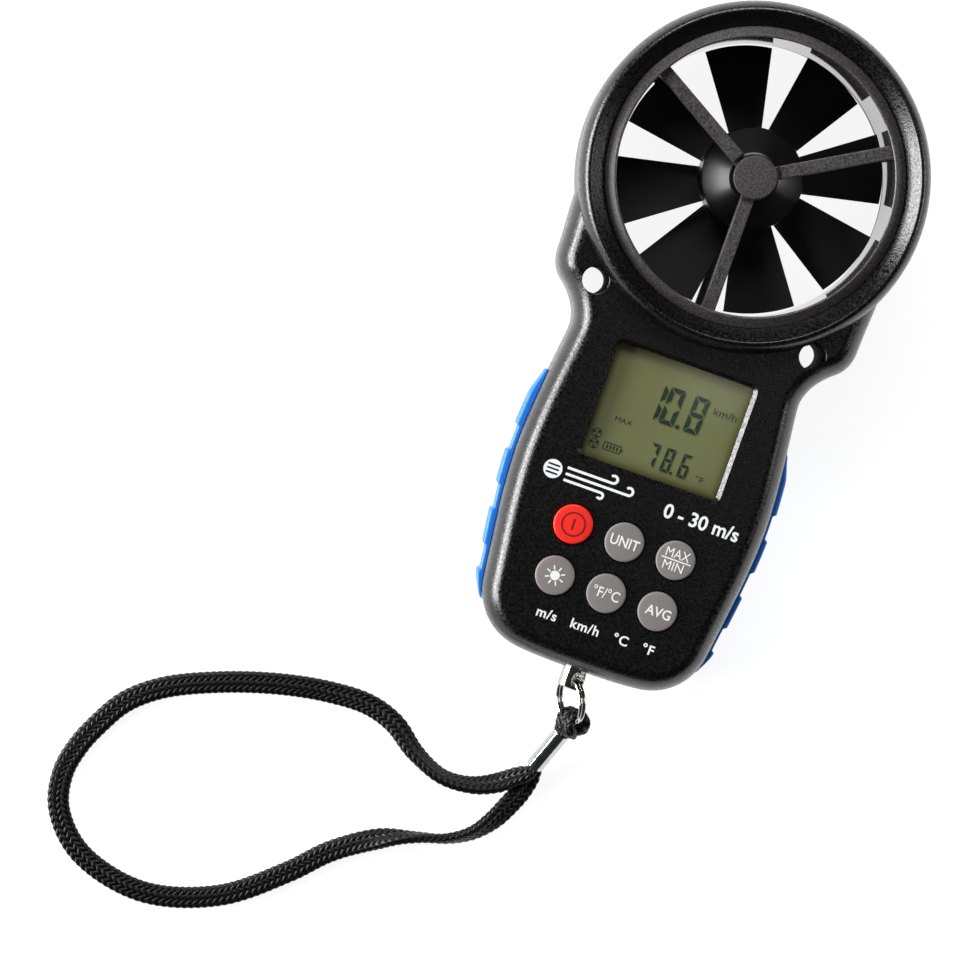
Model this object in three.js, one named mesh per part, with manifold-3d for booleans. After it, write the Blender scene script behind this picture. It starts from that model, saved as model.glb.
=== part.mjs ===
// Handheld weather meter: a vane anemometer with a display, six buttons and a wrist strap.
// Millimetres, +Z up. The meter lies on its back: +Z is the front, +Y points from the buttons
// to the vane ring. Most shapes are drawn about the vane's axis, inside a group at HEAD_Y.
import * as THREE from 'three';
import { mergeVertices } from 'three/addons/utils/BufferGeometryUtils.js';
import Module from 'manifold-3d';

const wasm = await Module();
wasm.setup();

// ---- Driving dimensions -------------------------------------------------------------------

const GAP = 0.3; // clearance between pieces that touch
const FACE_Z = 32; // flat front face
const PARTING_Z = 19; // front and rear case meet here
const WALL = 2.4;

const RING_R = 41.3; // outside of the vane ring
const RING_BORE_R = 35.2;
const DUCT_R = 32.5; // bore that the air goes through
const POST_END_Y = -128.1; // lanyard post's tip, the object's lowest point in Y
const HEAD_Y = -(POST_END_Y + RING_R) / 2; // puts the origin under the middle of the object

const EAR_HOLE = { x: 27.0, y: -34.95, r: 3.15 };
const WINDOW = { y: -60.4, width: 33.4, height: 26.2, chamfer: 1.1 };
const BUTTON_PITCH = 12.75;
const BUTTON_TOP_ROW_Y = -90.6;
const BUTTON_R = 4.66;
const BUTTON_TRAVEL = 0.7;
const BUTTON_PROUD = 0.9;

const STRUT_WIDTH = 3.2;
const STRUT_TURNS = [0, 1, 2]; // three struts, 120 degrees apart, one towards the body
const BLADES = 8;
const BLADE_START = THREE.MathUtils.degToRad(24.1);
const BLADE_TIP_R = 31.3;
const BLADE_DEPTH = 7; // along the axis
const BLADE_Z = 13.5;
const BLADE_THICK = 1.2;

const BOARD = { x: 19, top: -45.2, bottom: -117.5, z: 23.2, thick: 1.6 };
const BAY = { x: 17, top: -60.4, bottom: -116.0, wall: 1.2 };
const DOOR_AXIS = { y: BAY.top - GAP - 1.0, z: 1.3 };
const BATTERY = { x: 13.25, bottom: -115.4, length: 46.4, z: 4.4, thick: 17.5 };
const TRIPOD_Y = -51;
const SCREWS = [[-24.5, -52], [24.5, -52], [-22.6, -111.5], [22.6, -111.5]];

const POST_R = 3.0;
const POST_HOLE_Y = -125.7;
const POST_HOLE_R = 1.8;
const SPLIT_RING_R = 5.55; // to the middle of the wire
const WIRE_R = 0.45;

const RING_STEPS = 36;

// ---- Materials ----------------------------------------------------------------------------

const finish = (color, roughness, metalness = 0) =>
  new THREE.MeshStandardMaterial({ color, roughness, metalness });

const BLACK_PLASTIC = finish(0x17181a, 0.45);
const BLUE_RUBBER = finish(0x2a6fc4, 0.5);
const GREY_RUBBER = finish(0x807a78, 0.6);
const RED_RUBBER = finish(0xe8301f, 0.5);
const CLEAR_WINDOW = finish(0xc9cfc4, 0.08);
const LCD_GREEN = finish(0x767a50, 0.25);
const BACKLIGHT_WHITE = finish(0xdfe3df, 0.5);
const FRAME_WHITE = finish(0xd8d8d2, 0.5);
const DARK_RUBBER = finish(0x2b2b2b, 0.7);
const BOARD_GREEN = finish(0x1d5a35, 0.5);
const CHIP_BLACK = finish(0x151515, 0.4);
const BATTERY_SHELL = finish(0x34383d, 0.35, 0.4);
const WIRE_RED = finish(0xb01818, 0.5);
const WIRE_BLACK = finish(0x141414, 0.5);
const FOAM = finish(0x3b3b3b, 0.95);
const STEEL = finish(0xb9bcc0, 0.25, 1);
const CHROME = finish(0xd9dbdd, 0.1, 1);
const BRASS = finish(0xb8923e, 0.3, 1);
const MAGNET = finish(0x54575c, 0.4, 0.8);
const BRAID = finish(0x101012, 0.75);

// ---- Solids from three.js geometry --------------------------------------------------------

function signedVolume(position, index) {
  const [a, b, c] = [new THREE.Vector3(), new THREE.Vector3(), new THREE.Vector3()];
  let volume = 0;
  for (let i = 0; i < index.length; i += 3) {
    a.fromBufferAttribute(position, index[i]);
    b.fromBufferAttribute(position, index[i + 1]);
    c.fromBufferAttribute(position, index[i + 2]);
    volume += a.dot(b.cross(c)) / 6;
  }
  return volume;
}

// A closed three.js geometry as a solid: shared vertices merged, slivers dropped, faces out.
function solid(geometry) {
  const bare = new THREE.BufferGeometry();
  bare.setAttribute('position', geometry.getAttribute('position').clone());
  bare.setIndex(geometry.index ? geometry.index.clone() : null);
  const merged = mergeVertices(bare, 1e-4);
  const all = Array.from(merged.index.array);
  let index = [];
  for (let i = 0; i < all.length; i += 3) {
    const [a, b, c] = all.slice(i, i + 3);
    if (a !== b && b !== c && a !== c) index.push(a, b, c);
  }
  if (signedVolume(merged.getAttribute('position'), index) < 0) index = index.reverse();
  const mesh = new wasm.Mesh({
    numProp: 3,
    vertProperties: new Float32Array(merged.getAttribute('position').array),
    triVerts: new Uint32Array(index),
  });
  return new wasm.Manifold(mesh);
}

function toGeometry(body) {
  const mesh = body.getMesh();
  const geometry = new THREE.BufferGeometry();
  geometry.setAttribute('position', new THREE.BufferAttribute(mesh.vertProperties, 3));
  geometry.setIndex(new THREE.BufferAttribute(mesh.triVerts, 1));
  geometry.computeVertexNormals();
  return geometry;
}

const join = (...bodies) => bodies.reduce((sum, body) => sum.add(body));
const cut = (body, ...tools) => tools.reduce((rest, tool) => rest.subtract(tool), body);

function box([x0, x1], [y0, y1], [z0, z1]) {
  const geometry = new THREE.BoxGeometry(x1 - x0, y1 - y0, z1 - z0);
  return solid(geometry.translate((x0 + x1) / 2, (y0 + y1) / 2, (z0 + z1) / 2));
}

// A box whose top is wider than its bottom by 2 * flare.
function flaredBox(width, height, y, [z0, z1], flare) {
  const geometry = new THREE.BoxGeometry(width, height, z1 - z0);
  const position = geometry.getAttribute('position');
  for (let i = 0; i < position.count; i++) {
    if (position.getZ(i) < 0) continue;
    position.setX(i, position.getX(i) + Math.sign(position.getX(i)) * flare);
    position.setY(i, position.getY(i) + Math.sign(position.getY(i)) * flare);
  }
  return solid(geometry.translate(0, y, (z0 + z1) / 2));
}

// Turned about Z. The profile is [radius, z] pairs that start and end on the axis, or a loop.
function turned(profile, steps = RING_STEPS, x = 0, y = 0) {
  const points = profile.map(([r, z]) => new THREE.Vector2(r, z));
  if (points[0].x > 0) points.push(points[0].clone());
  const geometry = new THREE.LatheGeometry(points, steps);
  return solid(geometry.rotateX(Math.PI / 2).translate(x, y, 0));
}

function disc(r, [z0, z1], x = 0, y = 0, steps = 16) {
  return turned([[0, z0], [r, z0], [r, z1], [0, z1]], steps, x, y);
}

// An outline pushed out by grow, extruded, with both ends rounded over edge x rise.
function roundedForm(shape, [z0, z1], grow, edge, rise, steps = 3) {
  const geometry = new THREE.ExtrudeGeometry(shape, {
    depth: z1 - z0 - 2 * rise,
    curveSegments: 4,
    bevelEnabled: true,
    bevelSize: edge,
    bevelThickness: rise,
    bevelOffset: grow - edge,
    bevelSegments: steps,
  });
  return solid(geometry.translate(0, 0, z0 + rise));
}

// A round tube along a smooth route.
function tube(points, r, steps, sides = 8) {
  const section = new THREE.Shape();
  for (let i = 0; i < sides; i++) {
    const turn = (2 * Math.PI * (i + 0.5)) / sides;
    const corner = [r * Math.cos(turn), r * Math.sin(turn)];
    if (i === 0) section.moveTo(...corner);
    else section.lineTo(...corner);
  }
  section.closePath();
  const route = new THREE.CatmullRomCurve3(points.map((p) => new THREE.Vector3(...p)), false, 'centripetal');
  const settings = { steps, bevelEnabled: false, extrudePath: route };
  return solid(new THREE.ExtrudeGeometry(section, settings));
}

// ---- Outline of the body ------------------------------------------------------------------

// Right half, from the middle of the bottom edge up to where it runs into the ring.
const RIGHT_SIDE = [
  [[7, -123.2], [11, -123.1], [14.5, -122.7]],
  [[21.5, -122.2], [27, -117.3], [28, -109.8]],
  [[29.2, -99.6], [31.1, -88.4], [31.1, -77.6]],
  [[31.1, -66], [28.8, -52], [28.5, -47.4]],
  [[28.2, -43.5], [31, -39.6], [34.2, -37.1]],
  [[36.3, -35.4], [37.3, -33], [37.3, -29.8]],
  [[37.3, -26], [37.9, -20], [37.9, -16]],
];
const BOTTOM_Y = -123.2;
const TUCK = [35, -11]; // hidden inside the ring

function bodyOutline() {
  const shape = new THREE.Shape();
  shape.moveTo(0, BOTTOM_Y);
  for (const [a, b, end] of RIGHT_SIDE) shape.bezierCurveTo(...a, ...b, ...end);
  shape.lineTo(...TUCK);
  shape.lineTo(-TUCK[0], TUCK[1]);
  shape.lineTo(-RIGHT_SIDE.at(-1)[2][0], RIGHT_SIDE.at(-1)[2][1]);
  for (let i = RIGHT_SIDE.length - 1; i >= 0; i--) {
    const [a, b] = RIGHT_SIDE[i];
    const end = i > 0 ? RIGHT_SIDE[i - 1][2] : [0, BOTTOM_Y];
    shape.bezierCurveTo(-b[0], b[1], -a[0], a[1], -end[0], end[1]);
  }
  return shape;
}

const OUTLINE = bodyOutline();

// Half-width of the body at a height y, between the bottom corner and the neck.
function sideX(y) {
  const points = OUTLINE.getPoints(12).filter((p) => p.x > 20 && p.y < -40);
  for (let i = 1; i < points.length; i++) {
    const [low, high] = [points[i - 1], points[i]];
    if (low.y <= y && y <= high.y) {
      return THREE.MathUtils.mapLinear(y, low.y, high.y, low.x, high.x);
    }
  }
  return points[0].x;
}

// ---- Case ---------------------------------------------------------------------------------

const FAR = 200;
const above = (z) => box([-FAR, FAR], [-FAR, FAR], [z, FAR]);
const below = (z) => box([-FAR, FAR], [-FAR, FAR], [-FAR, z]);
const ringPlug = () => disc(RING_R - 1.3, [-1, FACE_Z + 1], 0, 0, RING_STEPS);

const postHole = () => {
  const bore = new THREE.CylinderGeometry(POST_R + GAP, POST_R + GAP, 8, 24);
  return solid(bore.translate(0, BOTTOM_Y, 0).translate(0, 0, PARTING_Z));
};

const cableSlot = () => box([-0.9, 0.9], [-43, -34.6], [PARTING_Z - 0.1, 31.9]);

function frontCase() {
  const height = FACE_Z - PARTING_Z;
  const ceiling = FACE_Z - WALL;
  const cavityHeight = ceiling - PARTING_Z;
  const outside = roundedForm(OUTLINE, [PARTING_Z - height, FACE_Z], 0, 5, 9);
  const cavity = roundedForm(OUTLINE, [PARTING_Z - cavityHeight, ceiling], -WALL, 3.4, 6.4, 1);
  const ring = turned([
    [36.5, PARTING_Z], [37.6, PARTING_Z], [37.6, 35.4], [39.4, 35.4], [39.4, PARTING_Z],
    [RING_R, PARTING_Z], [RING_R, 30.5], [41.0, 34], [40.3, 36.4], [38.7, 38],
    [RING_BORE_R, 35], [RING_BORE_R, 20.7], [36.5, 20.7],
  ]);
  let shell = cut(outside, cavity, ringPlug(), below(PARTING_Z));
  for (const side of [-1, 1]) {
    shell = shell.add(disc(EAR_HOLE.r + 1.75, [PARTING_Z, FACE_Z - 1], side * EAR_HOLE.x, EAR_HOLE.y));
  }
  for (const [x, y] of SCREWS) shell = shell.add(disc(3.0, [PARTING_Z, ceiling + 1], x, y, 12));
  shell = shell.add(ring);
  for (const [x, y] of SCREWS) shell = shell.subtract(disc(1.5, [PARTING_Z - 1, 26.5], x, y, 10));
  for (const side of [-1, 1]) {
    shell = shell.subtract(disc(EAR_HOLE.r, [0, FACE_Z + 1], side * EAR_HOLE.x, EAR_HOLE.y));
  }
  for (const { x, y } of BUTTONS) {
    shell = shell.subtract(disc(BUTTON_R + GAP, [ceiling - 1, FACE_Z + 1], x, y));
  }
  const pocketX = WINDOW.width / 2 + 2.5;
  const pocketY = WINDOW.height / 2 + 2.5;
  const opening = box(
    [-WINDOW.width / 2, WINDOW.width / 2],
    [WINDOW.y - WINDOW.height / 2, WINDOW.y + WINDOW.height / 2],
    [ceiling - 1, FACE_Z],
  );
  const chamfer = flaredBox(
    WINDOW.width, WINDOW.height, WINDOW.y, [FACE_Z - WINDOW.chamfer, FACE_Z + 0.01], WINDOW.chamfer);
  const pocket = box(
    [-pocketX, pocketX], [WINDOW.y - pocketY, WINDOW.y + pocketY], [ceiling - 1, 30.9]);
  return cut(shell, opening, chamfer, pocket, postHole(), cableSlot());
}

function rearCase() {
  const top = PARTING_Z - GAP;
  const outside = roundedForm(OUTLINE, [0, 2 * top], 0, 4, 6);
  const cavity = roundedForm(OUTLINE, [WALL, 2 * top - WALL], -WALL, 2.6, 4, 1);
  const ring = turned([
    [36.5, top], [36.5, 17.3], [RING_BORE_R, 17.3], [RING_BORE_R, 2.1], [33.6, 2.1], [33.6, 1],
    [38.4, 1], [40.4, 2.6], [RING_R, 6], [RING_R, top], [39.4, top], [39.4, 4.5], [37.6, 4.5],
    [37.6, top],
  ]);
  let shell = cut(outside, cavity, ringPlug(), above(top));
  for (const side of [-1, 1]) {
    shell = shell.add(disc(EAR_HOLE.r + 1.75, [1, top], side * EAR_HOLE.x, EAR_HOLE.y));
  }
  for (const [x, y] of SCREWS) shell = shell.add(disc(3.6, [1, top], x, y, 12));
  const bayOutside = BAY.x + BAY.wall;
  shell = join(
    shell,
    disc(6.2, [1, 10.5], 0, TRIPOD_Y),
    box([-bayOutside, bayOutside], [BAY.bottom - BAY.wall, BAY.top + BAY.wall], [1, top]),
    ring,
  );
  for (const [x, y] of SCREWS) {
    shell = cut(shell, disc(1.6, [-1, top + 1], x, y, 10), disc(2.8, [-1, 8], x, y, 12));
  }
  for (const side of [-1, 1]) {
    shell = shell.subtract(disc(EAR_HOLE.r, [-1, FACE_Z], side * EAR_HOLE.x, EAR_HOLE.y));
  }
  const pinReach = BAY.x + 1.2;
  return cut(
    shell,
    box([-BAY.x, BAY.x], [BAY.bottom, BAY.top], [-1, top + 1]),
    box([-pinReach, pinReach], [DOOR_AXIS.y - 0.9, DOOR_AXIS.y + 0.9], [0.4, 2.2]),
    disc(4.8, [-1, 9.3], 0, TRIPOD_Y),
    postHole(),
  );
}

const GRIP = { bottom: -115, top: -58.5, z: [5.5, 18.3], proud: 1.8, ends: 0.7, fade: 7 };
const NOTCH = { centres: [-105.6, -91, -76.4], half: 3.1, depth: 0.8 };

// How far the grip's outer face stands off the case: least at its two ends.
function gripSwell(y) {
  const inset = Math.min(y - GRIP.bottom, GRIP.top - y);
  return GRIP.ends + (GRIP.proud - GRIP.ends) * THREE.MathUtils.smoothstep(inset, 0, GRIP.fade);
}

// The outer edge in plan: lands and notches by turns, from the bottom up.
function gripEdge() {
  const bounds = [
    GRIP.bottom, ...NOTCH.centres.flatMap((y) => [y - NOTCH.half, y + NOTCH.half]), GRIP.top];
  return bounds.slice(1).flatMap((end, i) => {
    const depth = i % 2 === 1 ? NOTCH.depth : 0;
    return [0, 0.25, 0.5, 0.75, 1].map((t) => {
      const y = THREE.MathUtils.lerp(bounds[i], end, t);
      return [sideX(y) + gripSwell(y) - depth, y];
    });
  });
}

// Side grip: a band that stands proud of the rear case, with a run of thumb notches.
function grip(side) {
  const shape = new THREE.Shape();
  shape.moveTo(sideX(GRIP.bottom) + GAP, GRIP.bottom);
  for (const [x, y] of gripEdge()) shape.lineTo(x, y);
  for (let t = 1; t > 0; t -= 0.0625) {
    const y = THREE.MathUtils.lerp(GRIP.bottom, GRIP.top, t);
    shape.lineTo(sideX(y) + GAP, y);
  }
  const depth = GRIP.z[1] - GRIP.z[0];
  const band = new THREE.ExtrudeGeometry(shape, { depth, bevelEnabled: false });
  const body = solid(band.translate(0, 0, GRIP.z[0]));
  return side > 0 ? body : body.mirror([1, 0, 0]);
}

// ---- Display ------------------------------------------------------------------------------

function plate(width, height, y, zRange) {
  return box([-width / 2, width / 2], [y - height / 2, y + height / 2], zRange);
}

const GLASS = { width: 37.6, height: 30.4, z: 26.9, thick: 2 };

const displayWindow = () => plate(WINDOW.width + 4.4, WINDOW.height + 4.4, WINDOW.y, [29.5, 30.6]);
const lcdGlass = () => plate(GLASS.width, GLASS.height, WINDOW.y, [GLASS.z, GLASS.z + GLASS.thick]);

function lcdFrame() {
  const outside = plate(GLASS.width + 3, GLASS.height + 2.4, WINDOW.y, [25.1, 29.2]);
  return outside.subtract(plate(GLASS.width + 0.6, GLASS.height + 0.6, WINDOW.y, [24, 30]));
}

const ZEBRA_BOTTOM = WINDOW.y - GLASS.height / 2 + 0.1;
const zebraStrip = () => box([-17, 17], [ZEBRA_BOTTOM, ZEBRA_BOTTOM + 1.8], [25.1, 26.6]);
const backlight = () =>
  box([-18, 18], [ZEBRA_BOTTOM + 2.1, WINDOW.y + GLASS.height / 2 - 0.4], [25.2, 26.6]);

// ---- Keypad -------------------------------------------------------------------------------

const BUTTON_NAMES = [
  ['power_button', 'unit_button', 'max_min_button'],
  ['backlight_button', 'temperature_unit_button', 'average_button'],
];
const BUTTONS = BUTTON_NAMES.flatMap((names, row) =>
  names.map((name, column) => ({
    name,
    x: (column - 1) * BUTTON_PITCH,
    y: BUTTON_TOP_ROW_Y - row * BUTTON_PITCH,
  })));

// Cap, hidden flange and the stem that presses the membrane.
function button({ x, y }) {
  const top = FACE_Z + BUTTON_PROUD;
  return turned([
    [0, 27.5], [1.5, 27.5], [1.5, 28.2], [5.6, 28.2], [5.6, 29.2], [BUTTON_R, 29.2],
    [BUTTON_R, top - 0.4], [BUTTON_R - 0.4, top], [0, top],
  ], 16, x, y);
}

function keypadMembrane() {
  const domeTop = 27.5 - BUTTON_TRAVEL - GAP;
  let mat = box([-18.5, 18.5], [-110, -84], [25.1, 25.7]);
  for (const { x, y } of BUTTONS) mat = mat.add(disc(2.6, [25.4, domeTop], x, y, 12));
  return mat;
}

// ---- Electronics and battery --------------------------------------------------------------

const mainBoard = () =>
  box([-BOARD.x, BOARD.x], [BOARD.bottom, BOARD.top], [BOARD.z, BOARD.z + BOARD.thick]);
const controllerChip = () => box([8, 16], [-58, -50], [21.2, BOARD.z - GAP]);
const temperatureSensor = () =>
  solid(new THREE.SphereGeometry(1.1, 12, 8).scale(1, 1.4, 1).translate(12, -43.6, 21.5));

const BATTERY_TOP = BATTERY.bottom + BATTERY.length;

function battery() {
  const shell = box(
    [-BATTERY.x, BATTERY.x], [BATTERY.bottom, BATTERY_TOP], [BATTERY.z, BATTERY.z + BATTERY.thick]);
  const middle = BATTERY.z + BATTERY.thick / 2;
  const stud = (x, r) => solid(
    new THREE.CylinderGeometry(r, r, 2.4, 12).translate(x, BATTERY_TOP + 0.7, middle));
  return join(shell, stud(-6.35, 2.8), stud(6.35, 3.8));
}

const SNAP_Y = BATTERY_TOP + 2.2;
const batterySnap = () => box([-12.5, 12.5], [SNAP_Y, SNAP_Y + 2.6], [BATTERY.z + 1, 20.5]);

function batteryLead(side) {
  const y = SNAP_Y + 2.6 + GAP;
  return tube([
    [side * 4, y + 0.2, 11], [side * 4, y + 1.2, 11.4], [side * 5, y + 1.5, 14],
    [side * 7, y + 1.3, 18], [side * 7.5, y + 1.2, 21], [side * 7.5, y + 1.2, 22.7],
  ], 0.6, 12);
}

// The door turns on two pins at its upper edge, and a tab holds its lower edge.
function batteryDoor() {
  const x = BAY.x - GAP;
  const bottom = BAY.bottom + 0.7;
  const panel = box([-x, x], [bottom, DOOR_AXIS.y], [0.3, 2.3]);
  const alongX = (r, reach, steps) => solid(
    new THREE.CylinderGeometry(r, r, 2 * reach, steps).rotateZ(Math.PI / 2)
      .translate(0, DOOR_AXIS.y, DOOR_AXIS.z));
  const tab = box([-5, 5], [bottom, bottom + 1.4], [2, 4]);
  return join(panel, alongX(1.0, x, 16), alongX(0.6, x + 1.2, 12), tab);
}

const batteryPad = () => box([-9, 9], [-104, -84], [2.6, BATTERY.z - GAP]);

// ---- Vane and its guards ------------------------------------------------------------------

function strut([r0, r1], zRange, turn) {
  const arm = new THREE.BoxGeometry(STRUT_WIDTH, r1 - r0, zRange[1] - zRange[0]);
  arm.translate(0, -(r0 + r1) / 2, (zRange[0] + zRange[1]) / 2);
  return solid(arm.rotateZ((turn * 2 * Math.PI) / 3));
}

// Duct, with the front struts and the sleeve that holds the front bearing.
function ductLiner() {
  const duct = turned([
    [33.5, 5.3], [34.3, 5.3], [34.2, 17.6], [36.2, 17.6], [36.2, 20.4], [34.2, 20.4],
    [34.2, 33.4], [34.9, 34.0], [34.9, 35.1], [32.75, 36.6], [DUCT_R, 36.4], [DUCT_R, 9],
  ]);
  const sleeve = disc(6.3, [30.5, 33.2]);
  const struts = STRUT_TURNS.map((turn) => strut([5.9, 33.4], [30.5, 34.2], turn));
  return cut(
    join(duct, sleeve, ...struts),
    disc(2.3, [30, 34], 0, 0, 16),
    box([-1.3, 1.3], [-5.6, -3.2], [30, 32.4]),
    box([-0.75, 0.75], [-36.5, -5.5], [30, 32]),
  );
}

function rearGuard() {
  const rim = turned([[32.9, 2.4], [34.9, 2.4], [34.9, 5.0], [32.9, 5.0]]);
  const struts = STRUT_TURNS.map((turn) => strut([4, 33.4], [2.4, 5.0], turn));
  return cut(join(rim, disc(6.2, [2.4, 7]), ...struts), disc(2.3, [4.2, 8], 0, 0, 16));
}

const bearing = (zRange) => disc(2.0, zRange, 0, 0, 16).subtract(disc(1.3, [0, 40], 0, 0, 16));
const frontBearing = () => bearing([30.8, 33.0]);
const rearBearing = () => bearing([4.5, 6.8]);
const impellerShaft = () => disc(1.0, [4.6, 32.8], 0, 0, 12);
const hubMagnet = () => turned([[3.9, 22.5], [7, 22.5], [7, 26.7], [3.9, 26.7]], 24);
const speedSensor = () => box([-1, 1], [-5.3, -3.5], [30.7, 32.1]);
const hubCap = () => turned([[0, 33.5], [5.1, 33.5], [5.1, 34.5], [4.8, 34.8], [0, 34.8]], 32);
const sensorCable = () => tube([
  [0, -5.9, 31.1], [0, -20, 31.1], [0, -32.5, 31.0], [0, -36.4, 29.6], [0, -39.6, 26.6],
  [0, -42.2, 23.4], [0, -44.5, 22.2], [0, -48, 22.1],
], 0.4, 16);

// A blade whose edges spread outwards, twisted so that one edge leads by BLADE_DEPTH.
function blade(turn) {
  const root = 11.1;
  const geometry = new THREE.BoxGeometry(1, 2, 2, 3, 2, 1);
  const position = geometry.getAttribute('position');
  for (let i = 0; i < position.count; i++) {
    const [u, s, t] = [position.getX(i) + 0.5, position.getY(i), position.getZ(i)];
    const r = root + u * (BLADE_TIP_R - root);
    const halfWidth = 1.7 + 0.1925 * r;
    const pitch = Math.atan2(BLADE_DEPTH / 2, halfWidth);
    const across = s * halfWidth - (t * Math.sin(pitch) * BLADE_THICK) / 2;
    const angle = turn + Math.asin(across / r);
    const z = BLADE_Z + (s * BLADE_DEPTH) / 2 + (t * Math.cos(pitch) * BLADE_THICK) / 2;
    position.setXYZ(i, r * Math.cos(angle), r * Math.sin(angle), z);
  }
  return solid(geometry);
}

function impeller() {
  const hub = turned([
    [1.3, 9.5], [3.5, 9.5], [3.5, 27], [8.6, 27], [10.4, 25.2], [10.4, 9.5], [11.9, 9.5], [11.9, 25.6],
    [11.3, 27.2], [9, 29.0], [5.5, 30.0], [1.3, 30.1],
  ], 32);
  const turns = Array.from({ length: BLADES }, (_, i) => BLADE_START + (i * 2 * Math.PI) / BLADES);
  return join(hub, ...turns.map(blade));
}

// ---- Fasteners and lanyard ----------------------------------------------------------------

const caseScrew = ([x, y]) => turned([
  [0, 5.6], [1.7, 5.6], [2.4, 6.3], [2.4, 7.7], [1.2, 7.7], [1.2, 24.6], [0, 26],
], 12, x, y);

const tripodInsert = () => turned([[3.0, 0.2], [4.5, 0.2], [4.5, 9], [3.0, 9]], 24, 0, TRIPOD_Y);

// The post's cross hole and the split ring's swing share one axis, tilted between X and Z.
const HOLE = new THREE.Vector3(0, POST_HOLE_Y, PARTING_Z);
const HOLE_AXIS = new THREE.Vector3(0.6, 0, 0.8);
const RING_LEAN = THREE.MathUtils.degToRad(21);
const RING_DIRECTION = new THREE.Vector3(
  HOLE_AXIS.z * Math.sin(RING_LEAN), -Math.cos(RING_LEAN), -HOLE_AXIS.x * Math.sin(RING_LEAN));

function lanyardPost() {
  const profile = [
    [0, 118.5], [4.5, 118.5], [4.5, 120.5], [POST_R, 120.5], [POST_R, -POST_END_Y - 0.5],
    [POST_R - 0.5, -POST_END_Y], [0, -POST_END_Y],
  ];
  const points = profile.map(([r, along]) => new THREE.Vector2(r, -along));
  const post = solid(new THREE.LatheGeometry(points, 24).translate(0, 0, PARTING_Z));
  const drill = new THREE.CylinderGeometry(POST_HOLE_R, POST_HOLE_R, 12, 20);
  return post.subtract(solid(aimed(drill, HOLE_AXIS, HOLE)));
}

// A geometry drawn about Y, turned to lie along axis and moved to place.
function aimed(geometry, axis, place) {
  const turn = new THREE.Quaternion().setFromUnitVectors(new THREE.Vector3(0, 1, 0), axis);
  return geometry.applyQuaternion(turn).translate(place.x, place.y, place.z);
}

// Two turns of wire side by side, as one band, grown by a clearance.
function ringBand(grow) {
  const normal = new THREE.Vector3().crossVectors(HOLE_AXIS, RING_DIRECTION).normalize();
  const centre = HOLE.clone().addScaledVector(RING_DIRECTION, SPLIT_RING_R);
  const [inner, outer] = [SPLIT_RING_R - WIRE_R - grow, SPLIT_RING_R + WIRE_R + grow];
  const [half, soft] = [2 * WIRE_R + grow, 0.22];
  const profile = [
    [inner, -half + soft], [inner + soft, -half], [outer - soft, -half], [outer, -half + soft],
    [outer, half - soft], [outer - soft, half], [inner + soft, half], [inner, half - soft],
    [inner, -half + soft],
  ].map(([r, along]) => new THREE.Vector2(r, along));
  return solid(aimed(new THREE.LatheGeometry(profile, 24), normal, centre));
}

const splitRing = () => ringBand(0);

const RING_END = HOLE.clone().addScaledVector(RING_DIRECTION, 2 * SPLIT_RING_R);
const FERRULE_TOP = new THREE.Vector3(2.8, -139.2, 10.4);
const FERRULE_END = new THREE.Vector3(-0.35, -149.6, 3.6);
const FERRULE_R = 2.15;

// Braid folded round the split ring, and its neck down into the ferrule.
function strapEye() {
  const band = [
    [2.4, -3.2], [3.3, -3.2], [3.7, -2.4], [3.7, 2.4], [3.3, 3.2], [2.4, 3.2], [1.45, 1.2],
    [1.45, -1.2], [2.4, -3.2],
  ].map(([r, along]) => new THREE.Vector2(r, along));
  const fold = solid(aimed(new THREE.LatheGeometry(band, 16), HOLE_AXIS, RING_END));
  const axis = FERRULE_END.clone().sub(FERRULE_TOP).normalize();
  const foot = FERRULE_TOP.clone().addScaledVector(axis, -GAP);
  const neck = new THREE.CylinderGeometry(1.7, 1.7, 3.4, 12).translate(0, -1.7, 0);
  return cut(fold.add(solid(aimed(neck, axis, foot))), wireClearance());
}

// Room for the split ring's wire inside the fold.
const wireClearance = () => ringBand(0.3);

function strapFerrule() {
  const axis = FERRULE_END.clone().sub(FERRULE_TOP);
  const sleeve = new THREE.CylinderGeometry(FERRULE_R, FERRULE_R, axis.length(), 20);
  const middle = FERRULE_TOP.clone().lerp(FERRULE_END, 0.5);
  return solid(aimed(sleeve, axis.normalize(), middle));
}

// Wrist strap: one loop of flat braid, out of the ferrule and back into it, lying on the floor.
const STRAP_Z = 1.6;
const STRAP_ROUTE = [
  [-1.0, -151.6, 4.6], [-3.6, -153.6, 3.8], [-7.2, -156.6, 3.2], [-13, -159.3, 2.6],
  [-20.5, -159.8, 2.8], [-28.6, -156.5, 2.9], [-35.7, -151.6, 2.3], [-43, -149.4], [-53, -149.7],
  [-65, -151.9], [-78.8, -156.3], [-91.5, -162.3], [-98.8, -168.5], [-103, -175.5],
  [-105.8, -182], [-107.2, -189.5], [-105.3, -198], [-97, -206.5], [-80, -210.5],
  [-62, -205.3], [-48, -194.3], [-40.2, -186.3, 2], [-33, -181, 2.8], [-26.8, -177.6, 3],
  [-20.7, -175.5, 3], [-14.5, -173.6, 2.6], [-9.2, -170.3, 1.9], [-5.4, -165.6], [-2.6, -160],
  [-0.6, -155], [0.1, -150.9],
].map(([x, y, z = STRAP_Z]) => [x, y, z]);
const wristStrap = () => tube(STRAP_ROUTE, 1.5, 60);

// ---- Assembly -----------------------------------------------------------------------------

const object = new THREE.Group();
const head = new THREE.Group(); // the vane's axis
head.position.y = HEAD_Y;
object.add(head);

function piece(name, body, material) {
  const mesh = new THREE.Mesh(toGeometry(body), material);
  mesh.name = name;
  head.add(mesh);
}

piece('front_case', frontCase(), BLACK_PLASTIC);
piece('rear_case', rearCase(), BLACK_PLASTIC);
piece('left_grip', grip(-1), BLUE_RUBBER);
piece('right_grip', grip(1), BLUE_RUBBER);

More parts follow.
